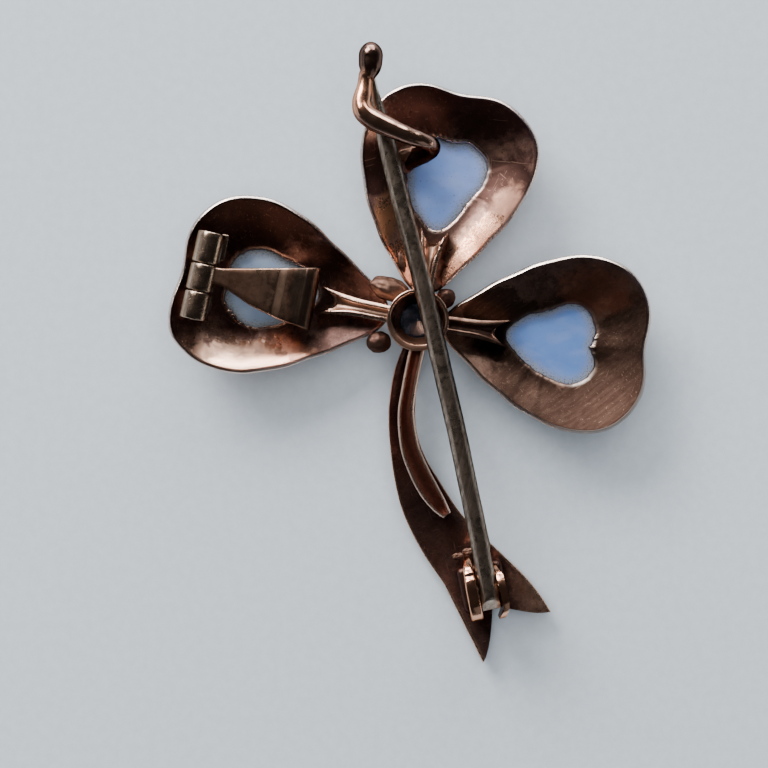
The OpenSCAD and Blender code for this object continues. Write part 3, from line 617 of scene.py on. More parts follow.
# ------------------------------------------------------------------ leaves
def leaf(name):
    ang, out, extra, w_out, w_open, seed = LEAVES[name]
    n = 288
    a = np.linspace(0, 2 * np.pi, n, endpoint=False)
    ro0 = heart(a, 1)
    ring = np.column_stack([np.cos(a), np.sin(a), np.zeros(n)])
    # the opening was sawn by hand: small flats and nicks
    saw = 0.045 * field(ring * 2.2, 1.4, seed, 3) + 0.03 * np.maximum(0, field(ring * 2.2, 5.0, seed + 1, 2) - 0.25)
    ro = ro0 + uneven(w_open, a) + nudge(name, a, 3) + saw
    rr = heart(a, 0) + extra * np.maximum(0, -np.cos(a)) ** 8 + uneven(w_out, a) + nudge(name, a, 2)
    zr = heart(a, 2) + 0.03 * field(ring * 4.5, 0.5, seed + 2, 2)
    seat = DISH_Z - SHEET_T
    ledge = ro0 + STONE_LEDGE + STONE_GAP
    foot = ledge + BEZEL_T

    def dish(t):
        u = 0.3 * t + 0.7 * t * t
        return DISH_Z * (1 - u) + zr * u

    burr = 0.025 * np.maximum(0, field(ring * 2.2, 2.6, seed + 5, 2))
    for mid, width, high in BURRS[name]:
        near = np.exp(-(((np.degrees(a) - mid + 180) % 360 - 180) / width) ** 2)
        chip = np.maximum(0, field(ring * 2.2, 7.0, seed + 9, 2) + 0.1) * near
        burr = burr + high * chip
        ro = ro - 1.1 * high * chip
    ro_even = ro0 + uneven(w_open, a) + nudge(name, a, 3) + saw
    rows = []       # radius, height, worn, deep
    rows.append((ro + 0.03, seat + 0 * a, 0.0, 1.0))
    rows.append((ro, seat + 0.06 + 0 * a, 0.0, 1.0))
    # worn edge round the opening, which the leaf material lightens into a painted highlight
    wear_and_glint = 0.8 if name == "top" else 0.35
    if name == "right":     # worn, and lightened into painted glints, in two short places only
        turn = np.degrees(a)
        wear_and_glint = 0.12 + 0.88 * np.exp(-(((turn - 314 + 180) % 360 - 180) / 13) ** 2) + 0.6 * np.exp(-(((turn - 4 + 180) % 360 - 180) / 9) ** 2)
    rows.append((ro, DISH_Z - 0.20 + 0 * a, 0.1, 0.9))
    rows.append((ro + 0.005, DISH_Z - 0.11 + burr, 0.5 * wear_and_glint, 0.6))
    rows.append((ro + 0.03, DISH_Z - 0.055 + burr, wear_and_glint, 0.3))
    rows.append((ro + 0.075, DISH_Z - 0.025 + burr, wear_and_glint, 0.0))
    r_top = rr - 0.19
    steps = 30
    for k in range(1, steps + 1):
        q = k / steps
        r = (ro_even + 0.14) + (r_top - ro_even - 0.14) * q
        t = (r - ro_even) / (rr - ro_even)
        rows.append((r, dish(t), 0.0, 0.55 * (1 - smoothstep(q, 0.0, 0.35))))
    z1 = dish(1.0 + 0 * a)
    # worn rim chamfer, which the leaf material lightens into a painted highlight line
    for back, drop, w in ((0.150, 0.004, 0.8), (0.125, 0.014, 1.0), (0.105, 0.027, 1.0), (0.040, 0.078, 1.0), (0.020, 0.103, 0.9), (0.005, 0.140, 0.6), (0.0, 0.175, 0.4)):
        rows.append((rr - back, z1 - drop, w, 0.0))
    rows.append((rr - 0.01, z1 - RIM_T + 0.08, 0.2, 0.2))
    rows.append((rr - 0.035, z1 - RIM_T + 0.03, 0.3, 0.2))
    rows.append((rr - 0.10, z1 - RIM_T, 0.5, 0.0))
    for k in range(1, 14):
        t0 = (foot - ro_even) / (rr - ro_even)
        t = 0.955 + (t0 - 0.955) * k / 14
        rows.append((ro_even + (rr - ro_even) * t + 0.04 * (1 - k / 14), dish(t) - (SHEET_T + (RIM_T - SHEET_T) * t), 0.0, 0.3 * k / 14))
    t0 = (foot - ro_even) / (rr - ro_even)
    z_foot = dish(t0) - SHEET_T
    rows.append((foot, z_foot, 0.0, 0.9))
    for k in (0.25, 0.5, 0.75):
        rows.append((foot - 0.05 * k, z_foot + (LIP_Z + 0.08 - z_foot) * k, 0.0, 0.4 * (1 - k)))
    rows.append((foot - 0.05, LIP_Z + 0.08 + 0 * a, 0.5, 0.0))
    rows.append((foot - 0.07, LIP_Z + 0.025 + 0 * a, 1.0, 0.0))
    rows.append((foot - 0.13, LIP_Z + 0 * a, 1.0, 0.0))
    rows.append((ledge - 0.03, LIP_Z + 0 * a, 1.0, 0.0))
    rows.append((ledge - 0.09, LIP_Z + 0.03 + 0 * a, 1.0, 0.0))
    rows.append((ledge - 0.10, LIP_Z + 0.07 + 0 * a, 0.6, 0.3))
    rows.append((ledge - 0.05, LIP_Z + 0.15 + 0 * a, 0.0, 1.0))
    rows.append((ledge, LIP_Z + 0.24 + 0 * a, 0.0, 1.0))
    rows.append((ledge, seat - 0.03 + 0 * a, 0.0, 1.0))
    rows.append((ledge - 0.03, seat + 0 * a, 0.0, 1.0))
    m = len(rows)
    S = np.empty((n, m, 3))
    worn, deep = np.empty((n, m)), np.empty((n, m))
    for j, (r, z, w, d) in enumerate(rows):
        S[:, j, 0], S[:, j, 1], S[:, j, 2] = r * np.cos(a), r * np.sin(a), z
        worn[:, j], deep[:, j] = w, d
    # the sheet was raised by hammer over a stake: very shallow, slow waves, both faces alike
    flat = S.reshape(-1, 3)
    wave = 0.020 * field(flat * [1, 1, 0], 0.55, seed + 7, 2) + 0.006 * field(flat * [1, 1, 0], 1.7, seed + 8, 2)
    share = smoothstep(np.hypot(flat[:, 0], flat[:, 1]), 2.9, 3.6)
    flat[:, 2] += wave * share
    S = flat.reshape(n, m, 3)
    verts, faces = ring_loft(S)
    verts = verts + np.array([CENTRE_U + out, 0, 0])
    verts = verts @ rot_z(ang).T + SHIFT
    return piece("leaf_" + name, verts, faces, "frame", mat_leaf[name], sharp=60,
                 attributes={"worn": worn.reshape(-1), "deep": deep.reshape(-1)})


# ------------------------------------------------------------------ channelled arms and rib
def channel_profile(w, depth, shut=0.0, lip=0.27):
    """Across: positions and heights of the top, from -w to w: narrow rounded lips and a round-bottomed trough."""
    lip = min(lip, w * 0.55)
    inner = w - lip
    x, y, worn, deep = [], [], [], []
    for q, h, k in ((0.0, -0.17, 0.3), (0.0, -0.115, 0.8), (0.03, -0.085, 1.0), (0.30, -0.045, 1.0), (0.55, -0.012, 1.0), (0.72, 0.0, 1.0), (0.86, -0.008, 1.0), (0.96, -0.035, 0.8)):
        x.append(-w + q * lip)
        y.append(h)
        worn.append(k)
        deep.append(0.0)
    for k in range(15):
        q = -1 + 2 * k / 14
        x.append(inner * q)
        y.append(-0.045 - 0.20 * (1 - abs(q) ** 2.2) * (1 - 0.8 * shut))
        worn.append(0.35 if abs(q) > 0.9 else 0.0)
        deep.append(0.5 * (1 - abs(q)))
    n = 8
    x += [-v for v in x[:n][::-1]]
    y += y[:n][::-1]
    worn += worn[:n][::-1]
    deep += deep[:n][::-1]
    return np.array(x), np.array(y), np.array(worn), np.array(deep)


def channel_piece(name, frames, seed):
    """frames: list of (origin, side, along, half width, depth, lead)"""
    tops, bots, W, D = [], [], [], []
    last = len(frames) - 1
    for i, (o, side, along, w, depth, lead) in enumerate(frames):
        shut = smoothstep(i / last, 0.90, 1.0)
        x, y, worn, deep = channel_profile(w, depth, shut, 0.17 if name == "stem_rib" else 0.27)
        worn = np.maximum(worn, shut)
        o = np.asarray(o)
        ahead = lead * (x / w) ** 2
        top = o + np.outer(x, side) + np.outer(ahead, along) + np.outer(y, [0, 0, 1.0])
        bot = o + np.outer(x * 0.96, side) + np.outer(ahead, along) + np.array([0, 0, -depth])
        tops.append(top)
        bots.append(bot)
        W.append(worn * (0.10 if name == "arm_right" else 1.0))
        D.append(deep * (1.6 if name == "stem_rib" else 1.0) + (1.3 if name == "arm_right" else 0.0))
    top, bot = np.array(tops), np.array(bots)
    flat = top.reshape(-1, 3)
    flat[:, 2] += 0.012 * field(flat, 1.1, seed, 2)
    verts, faces = slab(flat.reshape(top.shape), bot)
    W, D = np.array(W).reshape(-1), np.array(D).reshape(-1)
    return piece(name, verts, faces, "frame", mat_rib if name == "stem_rib" else mat_arm, sharp=50,
                 attributes={"worn": np.concatenate([W, W * 0]), "deep": np.concatenate([D, D * 0 + 0.3])}, bevel=0.03)


def arm(name):
    ang, out, extra = LEAVES[name][:3]
    R = rot_z(ang)
    frames = []
    stations = 44
    for i in range(stations):
        s = i / (stations - 1)
        r = row_at(ARM, s * (len(ARM) - 1))
        along = r[0] + extra * s
        frames.append((R @ np.array([along, 0, r[2]]) + SHIFT, R @ np.array([0, 1.0, 0]), R @ np.array([1.0, 0, 0]), r[1], r[3], r[4]))
    return channel_piece("arm_" + name, frames, 31 + len(name))


def arm_solder():
    inner = np.array([[1.55, 4.47, 2.55], [1.07, 3.79, 2.55], [0.72, 3.06, 2.65], [0.59, 2.35, 2.72], [0.71, 1.63, 2.72]])
    outer = np.array([[1.63, 4.46, 2.35], [1.64, 4.05, 2.05], [1.52, 3.64, 1.95], [1.27, 3.22, 1.95], [1.48, 2.93, 1.85], [1.35, 2.56, 1.90], [1.21, 2.26, 1.95], [1.37, 1.84, 1.90], [1.08, 1.59, 2.10]])
    n, m = 60, 12
    t = np.linspace(0, 1, n)
    a = np.column_stack([np.interp(t, np.linspace(0, 1, len(inner)), inner[:, k]) for k in range(3)])
    b = np.column_stack([np.interp(t, np.linspace(0, 1, len(outer)), outer[:, k]) for k in range(3)])
    b[:, 0] += 0.05 * field(np.column_stack([t * 9, t * 0, t * 0]), 1.0, 121, 2)
    top = np.stack([a + (b - a) * (k / (m - 1)) + np.array([0, 0, 0.16]) * math.sin(math.pi * k / (m - 1)) for k in range(m)], axis=1)
    low = top.copy()
    low[:, :, 2] = np.minimum(top[:, :, 2] - 0.15, 1.45)
    top = top.reshape(-1, 3)
    top[:, 2] += 0.07 * field(top, 2.2, 122, 3)
    v, f = slab(top.reshape(n, m, 3) + SHIFT, low + SHIFT)
    piece("arm_solder_top", v, f, "frame", mat_bead, sharp=60, bevel=0.03, attributes=with_mask(v, 0.1, 1.0))
    v, f = ball((0, 0, 0), 0.34, (0.62, 1.7, 0.55), 131, 0.16)
    v = v @ rot_z(14).T + SHIFT + np.array([-0.85, 3.06, 1.95])
    piece("arm_solder_left", v, f, "frame", mat_bead, sharp=80, attributes=with_mask(v, 0.1, 1.2))


def rib():
    frames = []
    stations = 90
    last = len(RIB) - 1
    for i in range(stations):
        s = i * last / (stations - 1)
        r, p, q = row_at(RIB, s), row_at(RIB, max(s - 0.1, 0)), row_at(RIB, min(s + 0.1, last))
        along = np.array([q[0] - p[0], q[1] - p[1], 0])
        along /= np.linalg.norm(along)
        side = np.array([-along[1], along[0], 0])
        frames.append((np.array([r[0], r[1], r[3]]) + SHIFT, side, along, r[2], r[4], 0.0))
    return channel_piece("stem_rib", frames, 41)


# ------------------------------------------------------------------ ribbon
def ribbon():
    last = len(RIBBON) - 1
    rows, tips = 70, 22
    share = np.concatenate([[0, 0.010, 0.026, 0.05], np.linspace(0.09, 0.91, 23), [0.95, 0.974, 0.990, 1.0]])
    drop = np.concatenate([[0.12, 0.055, 0.015, 0.0], np.zeros(23), [0.0, 0.015, 0.055, 0.12]])

    def edge(s, w):
        r = row_at(RIBBON, s)
        return np.array([r[0] + (r[2] - r[0]) * w, r[1] + (r[3] - r[1]) * w, r[4] + RIBBON_DISH * (2 * w - 1) ** 2])

    def tip(w):
        if w < 0.5:
            return RIBBON_TIPS[0] * (1 - 2 * w) + RIBBON_TIPS[1] * 2 * w + np.array([0.17, 0.0, 0]) * math.sin(math.pi * (2 * w) ** 0.7)
        return RIBBON_TIPS[1] * (2 - 2 * w) + RIBBON_TIPS[2] * (2 * w - 1) + np.array([0.02, -0.10, 0]) * math.sin(2 * math.pi * (w - 0.5))

    back = []
    for i in range(rows + tips):
        line = []
        for w in share:
            if i < rows:
                p = edge(i * last / (rows - 1), w)
            else:
                f = (i - rows + 1) / tips * (1 - 0.030 * smoothstep(w, 0.86, 1.0))
                p = edge(last, w) * (1 - f) + tip(w) * f + np.array([0.12 * w * w, 0.10 * w * w, -0.04]) * math.sin(math.pi * f)
            line.append(p)
        back.append(line)
    back = np.array(back) + SHIFT
    low = np.full(back.shape, 0.0) + back
    back[:, :, 2] -= drop
    flat = back.reshape(-1, 3)
    flat[:, 2] += 0.018 * field(flat * [1, 1, 0], 0.7, 51, 2) + 0.006 * field(flat * [1, 1, 0], 2.2, 52, 2)
    front = low - np.array([0, 0, RIBBON_T])
    front[:, :, 2] = np.maximum(front[:, :, 2], 0.004)
    verts, faces = slab(flat.reshape(back.shape), front)
    n, m = back.shape[:2]
    j = np.abs(2 * share - 1)
    worn = np.tile(smoothstep(j, 0.91, 0.97), (n, 1))
    deep = np.tile(0.4 * (1 - j), (n, 1))
    return piece("stem_ribbon", verts, faces, "frame", mat_ribbon, sharp=60,
                 attributes={"worn": np.concatenate([worn.reshape(-1), worn.reshape(-1) * 0]), "deep": np.concatenate([deep.reshape(-1), deep.reshape(-1) * 0])})


# ------------------------------------------------------------------ collet, beads, catch
def collet():
    verts, faces = lathe([
        (COLLET_R - 0.12, 0.72), (COLLET_R, 1.2), (COLLET_R, 2.0), (COLLET_R, COLLET_Z), (COLLET_R - 0.17, COLLET_Z),
        (1.33, 2.45), (1.14, 1.85), (0.90, 1.46), (0.90, 1.38), (CENTRE_R + 0.05, 1.24), (CENTRE_R + 0.05, 0.98), (CENTRE_R - 0.06, 0.80), (CENTRE_R + 0.02, 0.72)], 120)
    verts = verts * [1, 1, 1] + SHIFT
    verts[:, 2] += 0.02 * field(verts, 0.9, 61) * smoothstep(verts[:, 2], 2.0, 2.9)
    flat = (verts - SHIFT)[:, :2]
    round_r = np.hypot(flat[:, 0], flat[:, 1])
    low_left = smoothstep(flat @ np.array([-0.45, -0.89]) / np.maximum(round_r, 1e-6), 0.2, 0.9)
    inner = (round_r < COLLET_R - 0.1) & (verts[:, 2] > 2.2)
    verts[:, :2] = SHIFT[:2] + flat * (1 - 0.10 * low_left * inner)[:, None]
    worn = smoothstep(verts[:, 2], 2.9, 2.99)
    # painted shade: the inner wall is darkened on its upper right side; the collet is also darker towards its bottom
    shaded_side = (verts - SHIFT)[:, :2] @ np.array([0.45, 0.89])
    deep = 1.6 * smoothstep(shaded_side, -0.1, 0.9) * (1 - smoothstep(verts[:, 2], 2.75, 2.95)) + 0.5 * (1 - smoothstep(verts[:, 2], 1.2, 1.7))
    return piece("collet", verts, faces, "frame", mat_collet, sharp=45, bevel=0.045, segments=3, attributes={"worn": worn, "deep": deep})


def beads():
    for i, (x, y, z, r) in enumerate(BEADS):
        v, f = ball((0, 0, 0), r, ((1.45, 0.84, 0.72), (0.95, 1.0, 0.9), (1.05, 0.95, 0.7))[i], 70 + i, (0.13, 0.10, 0.08)[i])
        v = v @ rot_z((-18, 0, 0)[i]).T + SHIFT + np.array([x, y, z])
        piece("bead_%d" % (i + 1), v, f, "frame", mat_bead, sharp=80, attributes=with_mask(v, 0.2, (0.9, 1.8, 3.2)[i]))


def catch():
    last = len(CATCH) - 1
    rows = np.array([row_at(CATCH, v) for v in np.linspace(0, last, 190)])
    # rounded end of the ball
    t = np.radians(np.linspace(8, 89, 16))
    end = CATCH[-1]
    cap = np.column_stack([np.full(16, end[0]) + 0.02 * np.sin(t), end[1] + 0.78 * np.sin(t), np.full(16, end[2]), end[3] * np.cos(t)])
    rows = np.vstack([rows, cap])
    path = rows[:, :3] + SHIFT
    length = np.concatenate([[0], np.cumsum(np.linalg.norm(np.diff(path, axis=0), axis=1))])
    radius = rows[:, 3] * (1 + 0.012 * np.sin(length * 3.1) + 0.009 * np.sin(length * 7.7 + 1))
    # the wire is hammered flat where it is soldered down
    flat = 0.60 + 0.40 * smoothstep(length, 0.9, 3.2)
    S = sweep(path, radius, 44, flat)
    verts, faces = tube_loft(S)
    n = len(verts)
    centres = np.vstack([np.repeat(path, 44, axis=0), path[0], path[-1]])
    out = (verts - centres)[:, 2] / np.maximum(np.linalg.norm(verts - centres, axis=1), 1e-6)
    # darker low down towards the leaf, and painted shade on the wire's downward-facing side
    deep = np.maximum(0.8 * smoothstep(-verts[:, 2], -3.6, -2.2), 1.4 * smoothstep(-out, -0.86, -0.60))
    piece("catch_wire", verts, faces, "frame", mat_catch, sharp=80, attributes={"worn": np.full(n, 0.25), "deep": deep})
    v, f = ball(SHIFT + np.array([-0.74, 8.30, 1.80]), 0.60, (1.15, 0.95, 0.62), 81, 0.20, 56, 36)
    piece("catch_foot", v, f, "frame", mat_collet, sharp=80, attributes=with_mask(v, 0.0, 0.6))
    v, f = ball((0, 0, 0), 0.60, (1.25, 0.70, 0.85), 84, 0.16, 56, 36)
    v = v @ rot_z(14).T + SHIFT + np.array([-0.42, 8.78, 2.10])
    piece("catch_solder", v, f, "frame", mat_bead, sharp=80, attributes=with_mask(v, 0.1, 0.9))


# ------------------------------------------------------------------ pin hinge and pin
def at_pivot(part):
    return place(part, rot_z(PIN_LEAN), PIVOT)


def ear_outline(y0, y1, z0, z1, c, n=44):
    right = [(y1 - c + c * math.cos(math.radians(k * 90 / n)), z1 - c + c * math.sin(math.radians(k * 90 / n))) for k in range(n + 1)]
    c = 1.15
    left = [(y0 + c - c * math.sin(math.radians(k * 90 / n)), z1 - c + c * math.cos(math.radians(k * 90 / n))) for k in range(n + 1)]
    return [(y0, z0), (y1, z0)] + right + left


def crossed(verts, faces, y):
    """An edge all round at y, so that a bend beyond it leaves the rest flat."""
    bm = bmesh.new()
    points = [bm.verts.new(p) for p in verts]
    for face in faces:
        bm.faces.new([points[k] for k in face])
    bmesh.ops.bisect_plane(bm, geom=bm.verts[:] + bm.edges[:] + bm.faces[:], dist=1e-5, plane_co=(0, y, 0), plane_no=(0, 1, 0))
    bm.verts.index_update()
    parts = np.array([p.co[:] for p in bm.verts]), [tuple(p.index for p in q.verts) for q in bm.faces]
    bm.free()
    return parts


def with_mask(verts, worn=0.3, deep=0.0):
    return {"worn": np.full(len(verts), worn), "deep": np.full(len(verts), deep)}


def hinge():
    # the eye sits a little left of the middle, so the ears do too
    left, right, outer_left, outer_right = -0.66, 0.44, -1.33, 0.83
    for side, x0, x1, y0, y1, z1, r in (("left", outer_left, left, -1.49, 1.87, 4.05, 1.75), ("right", right, outer_right, -1.66, 1.14, 4.02, 1.25)):
        v, f = prism(ear_outline(y0, y1, 1.05 - PIVOT_Z, z1 - PIVOT_Z, r), x0, x1)
        if side == "right":
            v, f = crossed(v, f, -1.10)
        # the outer faces are filed away towards the top of the leaf
        if side == "left":
            v[:, 0] += (v[:, 0] < x0 + 0.01) * np.interp(v[:, 1], [-1.6, -0.9, 0.3, 1.33, 2.0], [0.0, 0.02, 0.06, 0.15, 0.34])
            v[:, 2] -= 0.08 * np.exp(-((v[:, 1] - 0.92) / 0.10) ** 2) * smoothstep(v[:, 2], 0.2, 0.5)
        else:
            v[:, 0] += (v[:, 0] > x1 - 0.01) * np.interp(v[:, 1], [-1.66, -1.16, -0.61, 0.61, 1.04, 1.14], [-0.40, -0.11, 0.0, -0.04, -0.24, -0.28])
            v[:, 0] -= (v[:, 0] < x0 + 0.01) * 0.30 * smoothstep(-v[:, 1], 1.12, 1.66)
        v, f = at_pivot((v, f))
        piece("hinge_ear_" + side, v, f, "frame", mat_ear, sharp=50, bevel=0.13, segments=4, bevel_angle=50, attributes=with_mask(v))
    v, f = at_pivot(block((outer_left - 0.20, -1.20, 0.40 - PIVOT_Z), (outer_right + 0.10, 1.25, 1.22 - PIVOT_Z)))
    piece("hinge_base", v, f, "frame", mat_ribbon, sharp=50, bevel=0.30, segments=5, attributes=with_mask(v, 0.0, 1.2))
    for k, (x, y, z, r) in enumerate(((-0.67, 1.98, 0.86, 0.22), (-1.24, 1.85, 0.84, 0.20))):
        v, f = at_pivot(ball((x, y, z - PIVOT_Z), r, (1.5, 0.9, 0.5), 91 + k, 0.30))
        piece("hinge_solder_%d" % (k + 1), v, f, "frame", mat_bead, sharp=80, attributes=with_mask(v, 0.0, (0.6, 0.6)[k]))
    v, f = cylinder_y(RIVET_R, outer_left + 0.12, outer_right - 0.10, 48, 0.06)
    v = np.asarray(v) @ rot_z(-90).T
    v, f = at_pivot((v, f))
    piece("rivet_of_pin", v, f, "pin_rivet", mat_pin, sharp=50, attributes=with_mask(v, 0.2, 0.1))


def pin():
    R = rot_z(PIN_LEAN) @ rot_x(PIN_RISE)
    full = PIN_R - 0.02
    # the root runs past the pivot and is cut off on a slope
    y, r = [], []
    for k in range(12):
        a = math.radians(15 + 75 * k / 11)
        y.append(-1.04 + 0.16 * (1 - math.cos(math.radians(90 * k / 11))) + 0.04 * k)
        r.append(full * (0.90 + 0.10 * math.sin(a)))
    body_end = PIN_LEN - 4.1
    for k in range(1, 100):
        y.append(-0.40 + (body_end + 0.40) * k / 99)
        r.append(full - 0.004 * (1 + math.sin(k * 0.9)))
    for y1, r1, steps in ((PIN_LEN - 2.9, 0.43, 8), (PIN_LEN - 1.7, 0.30, 8), (PIN_LEN - 0.85, 0.235, 6), (PIN_LEN - 0.30, 0.17, 5), (PIN_LEN - 0.08, 0.10, 4), (PIN_LEN, 0.03, 3)):
        y0, r0 = y[-1], r[-1]
        for k in range(1, steps + 1):
            y.append(y0 + (y1 - y0) * k / steps)
            r.append(r0 + (r1 - r0) * k / steps)
    y, r = np.array(y), np.array(r)
    bow = np.interp(y, BOW[:, 0], BOW[:, 1])
    bow = np.convolve(np.pad(bow, 3, mode="edge"), np.ones(7) / 7, mode="valid")
    rise = EYE_R - PIN_R
    path = np.column_stack([bow + 0.008 * np.sin(y * 0.9) * smoothstep(y, 0.5, 2), y, rise + 0.008 * np.sin(y * 0.31 + 1) * smoothstep(y, 1, 4)])
    S = sweep(path, r, 56)
    cut = rise + full + 0.03 - 1.22 * np.maximum(0, -0.42 - S[:, :, 1])
    S[:, :, 2] = np.where(S[:, :, 2] > cut - 0.06, np.minimum(S[:, :, 2], cut - 0.03 * np.exp(-np.abs(S[:, :, 2] - cut) / 0.03)), S[:, :, 2])
    # its sides are filed flat where it lies between the ears
    between = S[:, :, 1] < 2.1
    S[:, :, 0] = np.where(between, np.clip(S[:, :, 0], -0.63, 0.40 - 0.32 * smoothstep(-S[:, :, 1], 1.06, 1.62)), S[:, :, 0])
    tube, faces = tube_loft(S)
    centres = np.vstack([np.repeat(path, 56, axis=0), path[0], path[-1]])
    out = (tube - centres)[:, 2] / np.maximum(np.linalg.norm(tube - centres, axis=1), 1e-6)
    # painted shade on the downward-facing side of the shaft
    shaft_shade = 1.0 * smoothstep(-out, -0.88, -0.58) * smoothstep(tube[:, 1], -0.5, 0.3)
    # round eye under the shaft, a thick disc with full edges
    turn = np.linspace(0, 2 * np.pi, 80, endpoint=False)
    rings = [(-0.512, 0.34), (-0.510, 0.46), (-0.47, 0.60), (-0.38, 0.73), (-0.22, 0.83), (0.0, 0.87), (0.22, 0.83), (0.38, 0.73), (0.47, 0.60), (0.510, 0.46), (0.512, 0.34)]
    eye = tube_loft(np.stack([np.stack([np.full(80, x - 0.10), q * np.cos(turn), q * np.sin(turn)], 1) for x, q in rings]))
    verts, both = join(place((tube, faces), R, PIVOT), place(eye, R, PIVOT))
    deep = np.concatenate([shaft_shade, np.full(len(eye[0]), 0.3)])
    piece("pin", verts, both, "pin_stem", mat_pin, sharp=50, attributes={"worn": deep * 0, "deep": deep})


# ------------------------------------------------------------------ bail and its hinge
def at_barrel(part):
    return place(part, rot_z(BARREL_LEAN), BARREL)


def bail():
    t2 = BAIL_T / 2
    mid, half = (BAIL_TOP - BAIL_DROP) / 2, (BAIL_TOP + BAIL_DROP) / 2 - t2
    cx = BAIL_LEN - (BAIL_TOP + BAIL_DROP) / 2
    path = [(0.25, mid + half)]
    path += [(0.45 + (cx - 0.45) * k / 30, mid + half + 0.035 * math.sin(math.pi * k / 30)) for k in range(0, 31)]
    # the strip is folded sharply over its end and then runs down almost straight
    path += [(cx + half * (0.22 * k / 4), mid + half + (0.0, 0.003, 0.014, 0.006)[k - 1]) for k in range(1, 5)]
    path += [(cx + half * (0.22 + 0.78 * math.sin(math.radians(p)) ** 0.9), mid + half * (math.cos(math.radians(p)) - 0.02)) for p in (14, 22, 30, 38, 46, 54, 63, 73, 84, 90)]
    path += [(cx + half * math.sin(math.radians(k * 180 / 24)), mid + half * math.cos(math.radians(k * 180 / 24))) for k in range(13, 24)]
    path += [(cx + (1.0 - cx) * k / 26, mid - half) for k in range(0, 27)]
    path += [(0.80, mid - half + 0.16), (0.66, mid - half + 0.42), (0.58, -0.44), (0.50, -0.25), (0.35, -0.12)]
    path = np.array(path)
    tangent = np.gradient(path, axis=0)
    tangent /= np.linalg.norm(tangent, axis=1)[:, None]
    normal = np.column_stack([-tangent[:, 1], tangent[:, 0]])
    tops, bots = [], []
    for (x, z), nrm in zip(path, normal):
        w = BAIL_W0 if x < 0.9 else BAIL_W0 + (BAIL_W1 - BAIL_W0) * (x - 0.9) / (BAIL_LEN + 0.1 - 0.9)
        round_off = np.array([0.0, 0.022, 0.055, 0.10])
        ys = np.concatenate([-w + round_off, [-0.6 * w, -0.25 * w, 0.0, 0.25 * w, 0.6 * w], (w - round_off)[::-1]])
        down = np.concatenate([[0.10, 0.055, 0.018, 0.0], np.zeros(5), [0.0, 0.018, 0.055, 0.10]])
        # the bend runs slightly askew: fuller at its lower end
        skew = 0.04 * smoothstep(x, 4.2, 5.6)
        full = 0.26 * smoothstep(x, 1.1, 3.0) * (1 - 0.5 * smoothstep(x, 4.2, 5.6))
        tops.append([[x + nrm[0] * (t2 - q) - skew * y / w, BAIL_OFF + y - full * max(-y / w, 0), z + nrm[1] * (t2 - q)] for y, q in zip(ys, down)])
        bots.append([[x - nrm[0] * t2 - skew * y / w, BAIL_OFF + y - full * max(-y / w, 0), z - nrm[1] * t2] for y in ys])
    top, bot = np.array(tops), np.array(bots)
    strip = slab(top, bot)
    v, f = at_barrel(strip)
    v[:, 2] += 0.010 * field(v, 0.9, 101, 2)
    piece("bail_loop", v, f, "bail", mat_bail, sharp=60)
    v, f = at_barrel(cylinder_y(KNUCKLE_R, -0.70, 0.70, 72, 0.08))
    piece("bail_knuckle", v, f, "bail", mat_barrel, sharp=50)


def barrel():
    for nm, y0, y1 in (("upper", 0.76, 2.40), ("lower", -2.21, -0.76)):
        v, f = at_barrel(cylinder_y(KNUCKLE_R, y0, y1, 72, 0.08))
        piece("knuckle_" + nm, v, f, "frame", mat_barrel, sharp=50)
        v, f = block((-0.36, y0 + 0.07, -1.85), (0.36, y1 - 0.07, -0.40))
        v = np.array(v, dtype=float)
        v[:, 2] += (v[:, 2] < -1.5) * (0.11 + 0.38 * (0.36 - v[:, 0]) / 0.72)
        v, f = at_barrel((v, f))
        piece("knuckle_post_" + nm, v, f, "frame", mat_collet, sharp=50, bevel=0.08, segments=3, attributes=with_mask(v, 0.0, 0.5))
        v, f = at_barrel(ball((0.0, (y0 + y1) / 2, -1.35), 0.72, (0.95, 1.15, 0.42), 111 + len(nm), 0.16))
        piece("knuckle_solder_" + nm, v, f, "frame", mat_collet, sharp=80, attributes=with_mask(v, 0.0, 0.6))
    # strip that stiffens the upper knuckle
    v, f = at_barrel(block((0.52, 1.08, -0.50), (0.90, 2.46, -0.02)))
    piece("knuckle_strip", v, f, "frame", mat_barrel, sharp=50, bevel=0.07, segments=3)
    v, f = at_barrel(cylinder_y(BAIL_RIVET_R, -2.23, 2.42, 40, 0.04))
    piece("rivet_of_bail", v, f, "bail_rivet", mat_barrel, sharp=50)


# ------------------------------------------------------------------ stones
STONE = [(1.0, DISH_Z - SHEET_T - 0.05), (1.0, 0.62), (0.985, 0.54), (0.95, 0.44), (0.90, 0.33), (0.82, 0.20), (0.72, 0.12), (0.60, 0.06), (0.46, 0.025), (0.32, 0.010), (0.16, 0.003)]


